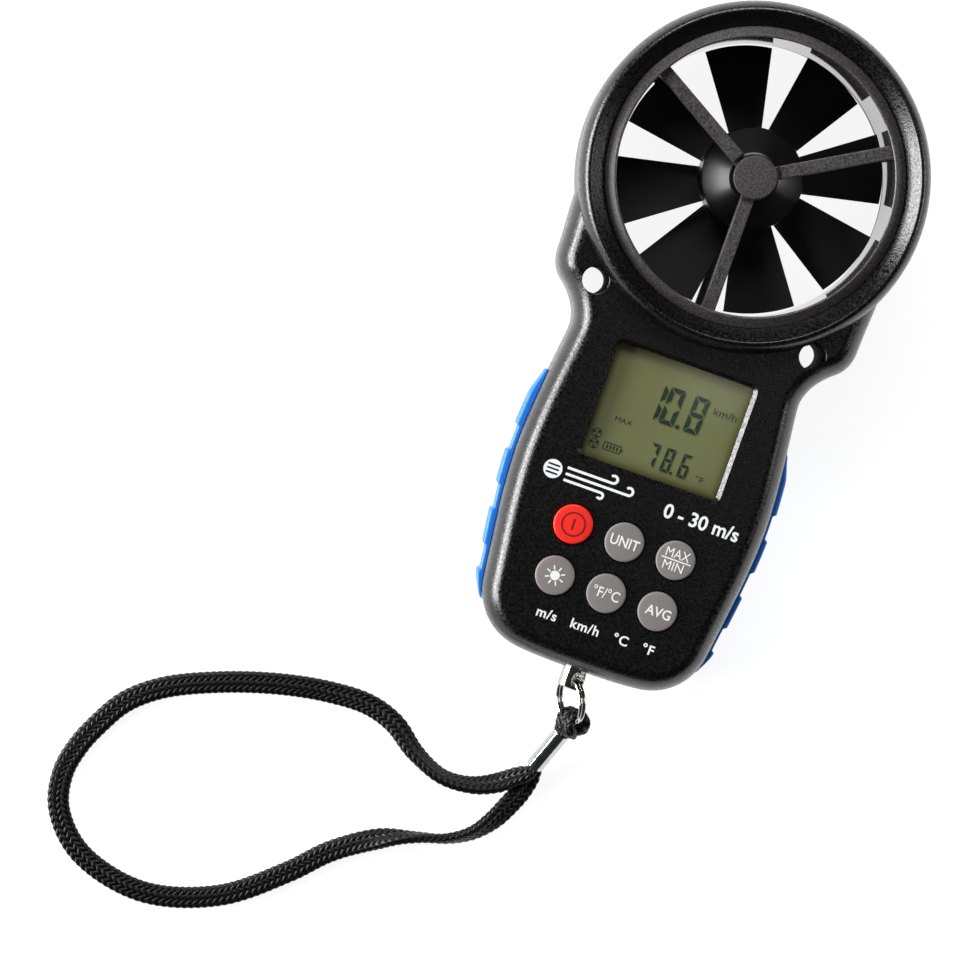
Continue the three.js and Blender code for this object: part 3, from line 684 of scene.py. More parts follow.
def make_strap():
    axis = (FERRULE_END - FERRULE_TOP).normalized()
    mouth = np.array(FERRULE_END)
    inner = np.array(FERRULE_END - axis * STRAP_INSIDE)
    points = [np.array(p) / MM for p in STRAP_ROUTE]
    lift = np.array([0, 0, 0.75])  # one end lies over the other in the ferrule
    route = smooth_route([inner + lift, mouth + lift, *points, mouth - lift, inner - lift], BRAID_STEP)
    reach = np.arange(len(route)) * BRAID_STEP - STRAP_INSIDE
    left = reach[-1] - STRAP_INSIDE - reach
    start = np.interp(reach, *zip(*ROLL_FROM_START))
    end = np.interp(left, *zip(*ROLL_FROM_END))
    roll = smoothed(np.radians(np.where(reach < left, start, end - 180)))
    margin = YARN["weave"] + YARN["thick"]
    half = np.abs(np.sin(roll)) * (FLAT["wide"] + margin) + np.abs(np.cos(roll)) * (FLAT["thick"] + margin)
    nearer = np.minimum(reach, left)
    lower = np.interp(nearer, [0, 5], [0, 0.4])
    route[:, 2] = np.maximum(route[:, 2] - lower, np.where(nearer > 6, half + 0.1, 0))
    route[:, 2] = smoothed(route[:, 2])
    ahead = unit(np.gradient(route, axis=0))
    level = unit(np.cross(np.array([[0, 0, 1.0]]), ahead))
    upright = np.cross(ahead, level)
    wide = level * np.cos(roll)[:, None] + upright * np.sin(roll)[:, None]
    widths = np.interp(nearer, [0, 1, 4, 10], [0.36, 0.46, 0.78, 1.0])
    thicks = np.interp(nearer, [0, 2, 8], [0.5, 0.85, 1.0])
    strap = piece(
        "wrist_strap_braid", braid(route, wide, widths, thicks), BRAID_BLACK, None,
        ["wrist_strap"], sharp=80, weighted=False)
    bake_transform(strap)
    return strap, [HEAD + Vector(p) * MM for p in route]


def make_eye():
    """The braid folded round the split ring, both its ends going down into the ferrule."""
    centre = HOLE + RING_DIRECTION * 2 * SPLIT_RING_R + Vector((0.7, 0.3, 0))
    to_ferrule = FERRULE_TOP - centre
    down = (to_ferrule - HOLE_AXIS * to_ferrule.dot(HOLE_AXIS)).normalized()
    across = HOLE_AXIS.cross(down)
    axis = (FERRULE_END - FERRULE_TOP).normalized()
    inside = FERRULE_TOP + axis * 2.5
    lip = FERRULE_TOP - axis * 0.8
    radius = 2.3
    wrap = [centre + radius * (across * math.cos(a) - down * math.sin(a))
            for a in (-0.35, 0.5, 1.1, math.pi / 2, 2.04, 2.64, math.pi + 0.35)]
    route = smooth_route([
        inside + across * 0.7, lip + across * 0.8, *wrap, lip - across * 0.8, inside - across * 0.7], 0.3)
    share = np.linspace(-1, 1, len(route))
    widths = np.interp(np.abs(share), [0, 0.45, 0.75, 1], [1.2, 1.15, 0.72, 0.5])
    thicks = np.interp(np.abs(share), [0, 0.5, 0.8, 1], [1.0, 1.1, 0.8, 0.62])
    wide = np.tile(np.array(HOLE_AXIS), (len(route), 1))
    return piece(
        "strap_eye_braid", braid(route, wide, widths, thicks, 0.85), BRAID_BLACK, "lanyard",
        ["strap_eye"], sharp=80, weighted=False)


def make_ferrule():
    axis = FERRULE_END - FERRULE_TOP
    long = axis.length
    wall = 0.35
    sleeve = turned([
        (FERRULE_R, 0, 0.17), (FERRULE_R, long, 0.17), (FERRULE_R - wall, long, 0.17),
        (FERRULE_R - wall, 0, 0.17)], 96)
    return piece(
        "ferrule_sleeve", along(sleeve, axis.normalized(), FERRULE_TOP), FERRULE_METAL,
        "lanyard", ["strap_ferrule"], sharp=50)


def make_split_ring():
    """Two turns of wire side by side, the step from one to the other over an eighth of a turn."""
    centre = HOLE + RING_DIRECTION * SPLIT_RING_R
    through = Matrix.Rotation(math.radians(RING_TURN), 3, RING_DIRECTION) @ HOLE_AXIS
    normal = through.cross(RING_DIRECTION).normalized()
    route = []
    for t in np.linspace(0, 2, 289):
        angle = 2 * math.pi * (t + 0.12)
        offset = WIRE_R * 1.06 * (2 * smoothstep(t, 0.9375, 1.0625) - 1)
        radial = through * math.cos(angle) + RING_DIRECTION * math.sin(angle)
        route.append(centre + radial * SPLIT_RING_R + normal * offset)
    return piece(
        "split_ring_wire", tube(route, WIRE_R, 14), CHROME, "lanyard", ["split_ring"],
        weighted=False, sharp=60)


strap, strap_path = make_strap()
strap_eye = make_eye()
ferrule = make_ferrule()
split_ring = make_split_ring()

# ---- Case ----

# Each bend's two control points and its end, up the right side from the middle of the bottom edge.
RIGHT_SIDE = [
    ((7, -123.2), (11, -123.1), (14.5, -122.7)),
    ((21.5, -122.2), (27, -117.3), (28, -109.8)),
    ((29.2, -99.6), (31.1, -88.4), (31.1, -77.6)),
    ((31.1, -66), (28.8, -52), (28.5, -47.4)),
    ((28.2, -43.5), (31, -39.6), (34.2, -37.1)),
    ((36.3, -35.4), (37.3, -33), (37.3, -29.8)),
    ((37.3, -26), (37.9, -20), (37.9, -16)),
]
TUCK = (33, -9)  # a corner of the outline that the ring hides
EAR_HOLES = [(-EAR_HOLE["x"], EAR_HOLE["y"]), (EAR_HOLE["x"], EAR_HOLE["y"])]
SHY = 0.4  # how far the bosses stay under the case's surface
RING_OVERLAP = 1.3  # how far the body runs into the ring's outer wall
RING_CORE = {"seat": 36.5, "in": 37.6, "out": 39.2}  # the duct's seat, and the ring's hollow


def right_side():
    """Points up the right side, evenly spaced, from the middle of the bottom edge."""
    start = np.array((0, BOTTOM_Y))
    points = [start]
    for bend in RIGHT_SIDE:
        a, b, end = map(np.array, bend)
        for t in np.linspace(0, 1, 60)[1:]:
            s = 1 - t
            points.append(s ** 3 * start + 3 * s * s * t * a + 3 * s * t * t * b + t ** 3 * end)
        start = end
    return evenly(points, count=200)


SIDE = right_side()
OUTLINE = [*map(tuple, SIDE), TUCK, (-TUCK[0], TUCK[1]), *[(-x, y) for x, y in SIDE[:0:-1]]]


def side_x(y):
    """How far out the case's side is at y."""
    return float(np.interp(y, SIDE[:, 1], SIDE[:, 0]))


def body_form(z_side, z_flat, wall, edge, rise, steps=10):
    """The body's outline from z_side towards z_flat, its edge rounded over edge by rise."""
    sign = 1 if z_flat > z_side else -1
    levels = [(wall + edge * across, z_flat - sign * rise * up) for across, up in quarter(steps)]
    return stacked(OUTLINE, [(wall, z_side), *levels])


def drill(r, z_range, x=0, y=0, rim=0.0, steps=64):
    """A round cutter whose top flares out by rim, to leave a rounded edge."""
    if not rim:
        return pillar(r, z_range, x, y, steps)
    z0, z1 = z_range
    flare = [(r + rim * across, z1 - rim * up) for across, up in quarter(4)]
    return turned([(0, z0), (r, z0), *flare, (r + rim, z1 + 1), (0, z1 + 1)], steps, x, y)


def bosses(z_range, screw_r):
    """The pillars round the two ear holes and the four screws."""
    ear_r = EAR_HOLE["r"] + EAR_HOLE["wall"]
    return [pillar(ear_r, z_range, *place) for place in EAR_HOLES] + [
        pillar(screw_r, z_range, *place) for place in SCREWS]


def post_hole():
    """The cutter for the lanyard post's hole, half of which is in each shell."""
    return along(drill(POST_R + 0.12, (0, 8)), (0, -1, 0), (0, BOTTOM_Y + 4, PARTING_Z))


def window_cutter():
    grow = WINDOW["chamfer"]
    half_x, half_y = WINDOW["width"] / 2 + grow, WINDOW["height"] / 2 + grow
    outline = rounded_rectangle(
        (-half_x, half_x), (WINDOW["y"] - half_y, WINDOW["y"] + half_y), WINDOW["corner"] + grow)
    nick = 0.12
    return stacked(outline, [
        (grow, 25), (grow, FACE_Z - grow), (nick, FACE_Z - nick), (0, FACE_Z + 1)])


BUTTONS = {
    name: (middle_of(name) - HEAD) / MM for name in (
        "power_button", "unit_button", "max_min_button", "backlight_button",
        "temperature_unit_button", "average_button")}


def inside(form, solids):
    """The solids, cut off where they would come through the case's rounded edge."""
    return [combined(solid, "INTERSECT", form) for solid in solids]


def matt_ear_holes(shell):
    """Give the walls of the two ear holes the rougher finish that a core pin leaves."""
    shell.data.materials.append(HOLE_BLACK)
    for face in shell.data.polygons:
        place = (face.center - HEAD) / MM
        away = math.hypot(abs(place.x) - EAR_HOLE["x"], place.y - EAR_HOLE["y"])
        if away < EAR_HOLE["r"] + 0.05:
            face.material_index = 1


def make_front_case():
    ceiling = FACE_Z - WALL
    seat, hollow_in, hollow_out = RING_CORE.values()
    body = body_form(PARTING_Z, FACE_Z, 0, *FRONT_EDGE)
    cavity = body_form(PARTING_Z - 1, ceiling, WALL, 3.4, 6.4, 4)
    crest = [(RING_R - 2.6 * (1 - math.cos(t)), 31 + 7.05 * math.sin(t)) for t in np.linspace(0, 1.5, 14)]
    ring = turned([
        (seat, PARTING_Z), (hollow_in, PARTING_Z), (hollow_in, 35.2), (hollow_out, 35.2),
        (hollow_out, PARTING_Z), (RING_R, PARTING_Z, 0.25), *crest, (38.55, 38.05, 0.5),
        (RING_BORE_R, 35.0, 0.15), (RING_BORE_R, 20.7), (seat, 20.7)], 256, arc=4)
    shell = cut(body, cavity, drill(RING_R - RING_OVERLAP, (0, FACE_Z + 9), steps=256))
    limit = body_form(PARTING_Z, FACE_Z - SHY, SHY, *FRONT_EDGE)
    shell = added(shell, *inside(limit, bosses((PARTING_Z, ceiling + 0.6), 3.0)), ring)
    holes = [drill(EAR_HOLE["r"], (0, FACE_Z), *place, EAR_HOLE["rim"]) for place in EAR_HOLES]
    holes += [drill(SCREW_HOLE["pilot"], (PARTING_Z - 1, 26.5), *place, steps=24) for place in SCREWS]
    holes += [drill(BUTTON_R + GAP, (20, FACE_Z), place.x, place.y, 0.15, 96)
              for place in BUTTONS.values()]
    pocket = block(
        (-POCKET["x"], POCKET["x"]), (WINDOW["y"] - POCKET["y"], WINDOW["y"] + POCKET["y"]),
        POCKET["z"], 1.0, 0)
    cable = block((-0.9, 0.9), (-43, -34.6), (PARTING_Z - 1, 31.6), 0.1, 0)
    shell = cut(shell, *holes, window_cutter(), pocket, post_hole(), cable)
    matt_ear_holes(
        piece("front_shell", shell, CASE_BLACK, "case", ["front_case"]))


def make_rear_case():
    top = PARTING_Z - GAP
    seat, hollow_in, hollow_out = RING_CORE.values()
    body = body_form(top, 0, 0, *REAR_EDGE)
    cavity = body_form(top + 1, WALL, WALL, 2.6, 4, 4)
    ring = turned([
        (seat, top), (seat, 17.3), (RING_BORE_R, 17.3), (RING_BORE_R, 2.1), (33.6, 2.1, 0.2),
        (33.6, 1, 0.3), (38.4, 1, 1.2), (40.4, 2.6, 1.6), (RING_R, 6, 2), (RING_R, top, 0.25),
        (hollow_out, top), (hollow_out, 4.5), (hollow_in, 4.5), (hollow_in, top)], 256)
    shell = cut(body, cavity, drill(RING_R - RING_OVERLAP, (-9, PARTING_Z + 1), steps=256))
    bay = BAY["x"] + BAY["wall"]
    solids = [
        *bosses((1, top), 3.6),
        pillar(6.2, (1, 10.5), 0, TRIPOD_Y),
        block((-bay, bay), (BAY["bottom"] - BAY["wall"], BAY["top"] + BAY["wall"]), (1, top), 1.5, 0),
    ]
    shell = added(shell, *inside(body_form(top, SHY, SHY, *REAR_EDGE), solids), ring)
    right_through = (-1, top + 1)
    holes = [drill(EAR_HOLE["r"], right_through, *place) for place in EAR_HOLES]
    for place in SCREWS:
        holes.append(drill(SCREW_HOLE["shaft"], right_through, *place, steps=24))
        holes.append(drill(SCREW_HOLE["head"], (-1, 8), *place, steps=48))
    pin = BAY["x"] + PIN_LONG
    shell = cut(
        shell, *holes,
        block((-BAY["x"], BAY["x"]), (BAY["bottom"], BAY["top"]), right_through, 0.8, 0),
        block((-pin, pin), (DOOR_AXIS["y"] - 0.9, DOOR_AXIS["y"] + 0.9), (0.4, 2.2), 0.1, 0),
        drill(4.65, (-1, 9.3), 0, TRIPOD_Y), post_hole())
    matt_ear_holes(
        piece("rear_shell", shell, CASE_BLACK, "case", ["rear_case"]))


GRIP = {"bottom": -115, "top": -58.5, "z": (5.5, 18.3), "proud": 1.8, "ends": 0.7, "fade": 7}
NOTCH = {"centres": (-105.6, -91, -76.4), "half": 3.1, "depth": 0.8, "edge": 0.7}


def make_grip(side):
    """A rubber band that stands proud of the case, rounded on its edges, with thumb notches."""
    rows = []
    z0, z1 = GRIP["z"]
    for y in np.linspace(GRIP["bottom"], GRIP["top"], 240):
        near_end = min(y - GRIP["bottom"], GRIP["top"] - y)
        swell = GRIP["ends"] + (GRIP["proud"] - GRIP["ends"]) * smoothstep(near_end, 0, GRIP["fade"])
        swell *= 0.25 + 0.75 * smoothstep(near_end, -0.4, 0.6)
        for centre in NOTCH["centres"]:
            within = NOTCH["half"] - abs(y - centre)
            swell -= NOTCH["depth"] * smoothstep(within, -NOTCH["edge"] / 2, NOTCH["edge"] / 2)
        base = side_x(y) + 0.15
        outer = base + max(0.2, swell)
        profile = softened([(base, z0), (outer, z0, 0.9), (outer, z1, 0.9), (base, z1)])
        rows.append([(side * x, y, z) for x, z in profile])
    rubber = mesh_of([point for row in rows for point in row], capped_faces(len(rows), len(rows[0])))
    name = "right_grip" if side > 0 else "left_grip"
    piece(
        f"{name}_rubber", rubber, GRIP_BLUE, "case", [name], weighted=False, sharp=50)


def make_window():
    low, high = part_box("display_window")
    half_x, half_y, _ = (high - low) / 2 / MM - Vector((GAP, GAP, 0))
    lens = prism(
        rounded_rectangle((-half_x, half_x), (WINDOW["y"] - half_y, WINDOW["y"] + half_y), 2.0),
        LENS_Z, 0.15)
    piece("window_lens", lens, CLEAR, "case", ["display_window"])


make_front_case()
make_rear_case()
make_grip(-1)
make_grip(1)
make_window()

# ---- Buttons ----


def make_button(name, place):
    """A round cap with a slightly crowned top and a flange that keeps it in the case."""
    crown = 0.12
    flange_r = 5.6
    top = [(r, BUTTON_TOP - crown * (r / BUTTON_R) ** 2) for r in np.linspace(BUTTON_R, 0, 6)]
    cap = turned([
        (0, 27.5), (1.5, 27.5), (1.5, 28.2), (flange_r, 28.2), (flange_r, 29.2), (BUTTON_R, 29.2),
        (*top[0], 0.4), *top[1:]], 96, place.x, place.y)
    red = name == "power_button"
    piece(
        f"{name}_cap", cap, BUTTON_RED if red else BUTTON_GREY, name, [name])


for button_name, button_place in BUTTONS.items():
    make_button(button_name, button_place)

# ---- Print and display ----

INK = 0.05  # how thick the print is
SEGMENT = 0.03  # how thick the display's marks are


def lettering(text, x_range, y_range, z, thick=INK, bold=0.0, spacing=1.0):
    """Plain lettering, stretched to fill the given width and height, as a thin raised layer."""
    data = bpy.data.curves.new("text", "FONT")
    data.body = text
    data.offset = bold
    data.space_character = spacing
    data.extrude = 0.5
    data.resolution_u = 5
    mesh = evaluated(linked("text", data))
    co = np.array([v.co for v in mesh.vertices])
    low, high = co.min(0), co.max(0)
    goal_low = np.array([x_range[0], y_range[0], z])
    goal_high = np.array([x_range[1], y_range[1], z + thick])
    co = goal_low + (co - low) / (high - low) * (goal_high - goal_low)
    mesh.vertices.foreach_set("co", co.ravel())
    return tidied(mesh)


def layer(outline, z, thick):
    """A flat layer with the given outline."""
    return stacked(outline, [(0, z), (0, z + thick)])


def bar(a, b, width, z, thick=INK):
    """A flat bar with round ends from a to b."""
    a, b = np.array(a, float), np.array(b, float)
    d = unit(b - a) * width / 2
    n = np.array((-d[1], d[0]))
    bend = np.linspace(-1.57, 1.57, 7)
    outline = [a - d * math.cos(t) - n * math.sin(t) for t in bend]
    outline += [b + d * math.cos(t) + n * math.sin(t) for t in bend]
    return layer(outline, z, thick)


def washer(r0, r1, x, y, z, thick=INK):
    """A flat ring, or a disc where r0 is 0."""
    return turned([(r0, z), (r1, z), (r1, z + thick), (r0, z + thick)], 64, x, y)


def stroke(points, width, z, thick=INK):
    """A flat ribbon along points that lie close together."""
    p = np.array(points, float)
    ahead = unit(np.gradient(p, axis=0))
    side = np.stack([-ahead[:, 1], ahead[:, 0]], 1) * width / 2
    return layer([*(p - side), *(p + side)[::-1]], z, thick)


def wind_lines(x, y, long, pitch, width, z):
    """Three lines of wind, each with a curl at its end."""
    marks = []
    for row, (share, curl, sign) in enumerate(((0.72, 0.9, 1), (1.0, 0.9, 1), (0.6, 0.7, -1))):
        level = y + (1 - row) * pitch
        end = x + long * share
        line = [(across, level) for across in np.linspace(x, end, 20)]
        line += [(end + curl * math.sin(a), level + sign * curl * (1 - math.cos(a)))
                 for a in np.linspace(0.1, 4.0, 22)]
        marks.append(stroke(line, width, z))
    return marks


LEGEND_Z = BUTTON_TOP - 0.035


def at_button(name, *meshes):
    """Meshes drawn about a button's middle, joined and moved there."""
    place = BUTTONS[name]
    return moved(joined(*meshes), Matrix.Translation((place.x, place.y, 0)))


def sun_mark():
    rays = []
    for k in range(8):
        a = math.pi / 4 * k + math.pi / 8
        out = np.array((math.cos(a), math.sin(a)))
        rays.append(bar(1.55 * out, 2.25 * out, 0.34, LEGEND_Z))
    return [washer(0, 1.15, 0, 0, LEGEND_Z, 0.06), *rays]


def make_legends():
    z = LEGEND_Z
    legends = {
        "power_button": [washer(2.55, 2.9, 0, 0, z, 0.06), bar((0, -1.15), (0, 1.15), 0.5, z, 0.06)],
        "unit_button": [lettering("UNIT", (-3.4, 3.6), (-1.25, 1.25), z, bold=0.012)],
        "max_min_button": [
            lettering("MAX", (-2.8, 3.0), (0.45, 2.65), z),
            bar((-3.4, 0), (3.6, 0), 0.3, z),
            lettering("MIN", (-2.6, 2.3), (-2.55, -0.45), z)],
        "backlight_button": sun_mark(),
        "temperature_unit_button": [
            lettering("°F/°C", (-3.2, 3.3), (-1.25, 1.35), z, bold=0.008)],
        "average_button": [lettering("AVG", (-2.8, 3.3), (-1.25, 1.15), z, bold=0.012)],
    }
    for name, meshes in legends.items():
        material = LEGEND_RED if name == "power_button" else PRINT_WHITE
        piece(f"{name}_legend", at_button(name, *meshes), material, name, weighted=False)


def make_print():
    """The white print on the front: a wind mark, the range and a row of units."""
    z = FACE_Z - 0.01
    disc = cut(
        washer(0, 2.25, -21.6, -79.9, z, 0.06),
        *[bar((-22.9, y), (-20.3, y), 0.45, z - 0.5, 1) for y in (-80.9, -79.9, -78.9)])
    lines = wind_lines(-18.4, -80.0, 15.5, 1.5, 0.62, z)
    right = lettering("0 - 30 m/s", (6.3, 24.8), (-82.0, -78.5), z, bold=0.022)
    bottom = lettering(
        "m/s   km/h   °C   °F", (-13.9, 15.2), (-113.7, -111.2), z, bold=0.02, spacing=1.1)
    piece("face_print", joined(disc, *lines, right, bottom), PRINT_WHITE, "case", weighted=False)


# Which of the seven bars are on: top, upper right, lower right, bottom, lower left, upper left, middle.
SEGMENTS = {"0": "1111110", "1": "0000110", "6": "1011111", "7": "1110000", "8": "1111111"}


def digit(text, x, y, width, height, t, z):
    """A seven-bar digit with bars t wide and its lower left corner at x, y. It leans to the right."""
    lean = 0.045
    half = height / 2
    gap = t * 0.12

    def level(y0, inner):
        return [(gap, y0), (width - gap, y0), (width - gap - t, y0 + inner * t), (gap + t, y0 + inner * t)]

    def upright(x0, inner, y0, y1):
        x1 = x0 + inner * t
        return [(x0, y0 + gap), (x0, y1 - gap), (x1, y1 - gap - t), (x1, y0 + gap + t)]

    middle = [
        (gap, half), (gap + t / 2, half + t / 2), (width - gap - t / 2, half + t / 2),
        (width - gap, half), (width - gap - t / 2, half - t / 2), (gap + t / 2, half - t / 2)]
    shapes = [
        level(height, -1), upright(width, -1, half, height), upright(width, -1, 0, half),
        level(0, 1), upright(0, 1, 0, half), upright(0, 1, half, height), middle]
    return [
        layer([(x + a + lean * b, y + b) for a, b in shape], z, SEGMENT)
        for on, shape in zip(SEGMENTS[text], shapes) if on == "1"]


def fan_mark(x, y, z):
    blades = []
    for turn in range(3):
        a = 0.3 + turn * math.tau / 3
        blades.append(stroke([
            (x + r * math.cos(a + 0.5 * r), y + r * math.sin(a + 0.5 * r))
            for r in np.linspace(0.25, 1.15, 8)], 0.5, z, SEGMENT))
    return [*blades, washer(1.0, 1.2, x, y, z, SEGMENT)]


def battery_mark(z):
    outer = layer(rounded_rectangle((-12.2, -7.8), (-71.75, -69.75), 0.3), z, SEGMENT)
    inner = layer(rounded_rectangle((-11.95, -8.05), (-71.5, -70.0), 0.2), z - 1, 2)
    charge = [bar((x, -71.1), (x, -70.4), 0.45, z, SEGMENT) for x in (-11.2, -10.4, -9.6, -8.8)]
    return [cut(outer, inner), bar((-7.55, -70.9), (-7.55, -70.6), 0.35, z, SEGMENT), *charge]


def readings(z, aside=0.0):
    """The two rows of digits with their points. Their painted shadow on the glass's back is a little
    aside.
    """
    marks = []
    for row, y, size in (
            ((("1", -3.35), ("0", -1.9), ("8", 4.15)), -61.45, (3.7, 8.95, 1.1)),
            ((("7", -1.75), ("8", 2.1), ("6", 6.3)), -72.1, (2.3, 5.8, 0.74))):
        for text, x in row:
            marks += digit(text, x + aside, y - aside, *size, z)
    for x, y, size in ((2.3, -61.5, 0.95), (4.65, -72.1, 0.65)):
        corner = rounded_rectangle(
            (x + aside, x + size + aside), (y - aside, y + size - aside), 0.1)
        marks.append(layer(corner, z, SEGMENT))
    return marks


def make_display():
    z = GLASS_TOP + 0.01
    # display_shade: the digits' shadow on the glass's back, painted as a darker copy set a little aside.
    piece("display_shade", joined(*readings(z - 0.02, 0.3)), SEGMENT_SHADE, "case", weighted=False)
    words = [
        lettering("km/h", (9.7, 15.4), (-55.5, -53.7), z, SEGMENT),
        lettering("MAX", (-11.6, -7.4), (-64.5, -63.3), z, SEGMENT),
        lettering("°F", (10.9, 12.9), (-71.6, -70.2), z, SEGMENT),
    ]
    fans = fan_mark(-14.6, -68.6, z) + fan_mark(-14.4, -71.15, z)
    marks = joined(*readings(z), *words, *fans, *battery_mark(z))
    piece("display_marks", marks, SEGMENT_DARK, "case", weighted=False)


make_legends()
make_print()
make_display()

# ---- Vane, duct and guards ----


def strut(r_range, z_range, turn, rounding):
    """An arm from one radius to another, the given number of thirds of a turn round."""
    half = STRUT_WIDTH / 2
    arm = block((-half, half), (-r_range[1], -r_range[0]), z_range, 0.15, rounding, min(rounding, 0.5))
    return moved(arm, Matrix.Rotation(turn * math.tau / 3, 4, "Z"))


def make_duct():
    duct = turned([
        (33.5, 5.3), (34.3, 5.3), (34.2, 17.6), (36.2, 17.6), (36.2, 20.4), (34.2, 20.4), (34.2, 33.4),
        (34.9, 34.0), (35.12, 34.3), (35.12, 35.05, 0.1), (32.9, 36.6, 0.35), (DUCT_R, 36.3, 0.15),
        (DUCT_R, 9, 2)], 256)
    sleeve = turned([(0, 30.5), (5.0, 30.5, 0.3), (5.0, 33.2, 0.3), (0, 33.2)], 96)
    arms = [strut((5.85, 33.4), (30.5, 34.2), turn, 0.3) for turn in range(3)]
    arms += [strut((4, 6.4), (30.5, 32.9), turn, 0.2) for turn in range(3)]
    bearing = drill(2.3, (30, 34))
    sensor = block((-1.3, 1.3), (-5.6, -3.2), (30, 32.4), 0.1, 0)
    cable = block((-0.75, 0.75), (-36.5, -5.5), (30, 32), 0.1, 0)
    piece(
        "duct_and_struts", cut(added(duct, sleeve, *arms), bearing, sensor, cable), DUCT_BLACK,
        "case", ["duct_liner"])


def make_rear_guard():
    rim = turned([(32.9, 2.4, 0.3), (34.9, 2.4, 0.3), (34.9, 5.0), (32.9, 5.0, 0.3)])
    hub = turned([(0, 2.4), (6.2, 2.4, 0.8), (6.2, 7, 0.3), (0, 7)], 96)
    arms = [moved(strut((4, 33.4), (-5.0, -2.4), turn, 0.45), Matrix.Scale(-1, 4, (0, 0, 1)))
            for turn in range(3)]
    for arm in arms:
        arm.flip_normals()
    guard = cut(added(rim, hub, *arms), drill(2.3, (4.2, 8)))
    piece("rear_guard_struts", guard, DUCT_BLACK, "case", ["rear_guard"])


def make_hub_cap():
    cap = turned([(0, 33.5), (5.1, 33.5, 0.1), (5.1, 34.75, 0.25), (3, 34.8, 1), (0, 34.8)], 128)
    piece("front_hub_cap", cap, DUCT_BLACK, "case", ["hub_cap"])


def blade(turn):
    """One blade: its edges spread outwards, it thins to them, and one edge leads."""
    root, spans, chords = 10.9, 14, 13
    top, bottom = [], []
    for u in np.linspace(0, 1, spans):
        r = root + u * (BLADE_TIP_R - root)
        half = 1.6 + 0.207 * r
        pitch = math.atan2(BLADE_DEPTH / 2, half)
        for s in np.linspace(-1, 1, chords):
            thick = 1.2 * math.sqrt(max(0.04, 1 - abs(s) ** 2.4)) * (1 - 0.25 * u)
            for side, points in ((1, top), (-1, bottom)):
                across = s * half - side * math.sin(pitch) * thick / 2
                angle = turn + math.asin(across / r)
                z = BLADE_Z + s * BLADE_DEPTH / 2 + side * math.cos(pitch) * thick / 2
                points.append((r * math.cos(angle), r * math.sin(angle), z))
    n = spans * chords
    faces = grid_faces(spans, chords) + [f[::-1] for f in grid_faces(spans, chords, first=n)]
    rim = [*range(chords), *(i * chords + chords - 1 for i in range(1, spans))]
    rim += [(spans - 1) * chords + j for j in range(chords - 2, -1, -1)]
    rim += [i * chords for i in range(spans - 2, 0, -1)]
    faces += [(a, b, b + n, a + n) for a, b in zip(rim, rim[1:] + rim[:1])]
    return mesh_of(top + bottom, faces)


def make_impeller():
    hub = turned([
        (1.3, 9.5), (3.5, 9.5), (3.5, 26.6), (8.2, 26.6), (10.4, 24.8), (10.4, 9.5),
        (HUB_R, 9.5, 0.3), (HUB_R, 25.0, 0.7), (5.7, 30.0, 1.5), (1.3, 30.1)], 160, arc=8)
    blades = [blade(BLADE_START + k * math.tau / BLADES) for k in range(BLADES)]
    piece(
        "impeller_vane", added(hub, *blades), VANE_BLACK, "vane", ["impeller"],
        sharp=40)


make_duct()
make_rear_guard()
make_hub_cap()
make_impeller()

# ---- Metal fittings and the back ----


def make_post():
    long = -POST_TIP_Y
    post = turned([
        (0, 118.5), (4.5, 118.5), (4.5, 120.5), (POST_R, 120.5), (POST_R, long, 0.45), (0, long)], 96)
    post = along(post, (0, -1, 0), (0, 0, PARTING_Z))
    bore = along(turned([
        (0, -6), (HOLE_R + 1, -6), (HOLE_R + 1, -3.3), (HOLE_R, -2.3), (HOLE_R, 2.3),
        (HOLE_R + 1, 3.3), (HOLE_R + 1, 6), (0, 6)], 64), HOLE_AXIS, HOLE)
    piece("lanyard_post_metal", cut(post, bore), CHROME, "case", ["lanyard_post"])


def make_screw(number, x, y):
    head = turned([
        (0, 5.6), (2.4, 5.6, 0.7), (2.4, 7.7), (1.2, 7.7), (1.2, 24.6), (0, 26)], 64, x, y)
    cross = [
        moved(block((-1.35, 1.35), (-0.28, 0.28), (5, 6.7), 0.05, 0),
              Matrix.Translation((x, y, 0)) @ Matrix.Rotation(turn, 4, "Z"))
        for turn in (0.4, 0.4 + math.pi / 2)]
    piece(
        f"screw_{number}", cut(head, *cross), STEEL, "case", [f"case_screw_{number}"])


def make_tripod_insert():
    """A threaded brass insert: its bore is a run of ridges."""
    ridges = []
    pitch = 1.27
    for z in 0.9 + pitch * np.arange(6):
        ridges += [(3.0, z + pitch * 0.1), (3.35, z + pitch * 0.5), (3.0, z + pitch * 0.9)]
    insert = turned([
        (3.35, 0.2, 0.1), (4.5, 0.2, 0.2), (4.5, 9, 0.2), (3.2, 9, 0.1), *ridges[::-1]], 96, 0, TRIPOD_Y)
    piece("tripod_thread", insert, BRASS, "case", ["tripod_insert"])


def hinge_rod(r, half, steps):
    """A rod on the battery door's axis."""
    rod = turned([(0, -half), (r, -half, 0.1), (r, half, 0.1), (0, half)], steps)
    return along(rod, (1, 0, 0), (0, DOOR_AXIS["y"], DOOR_AXIS["z"]))


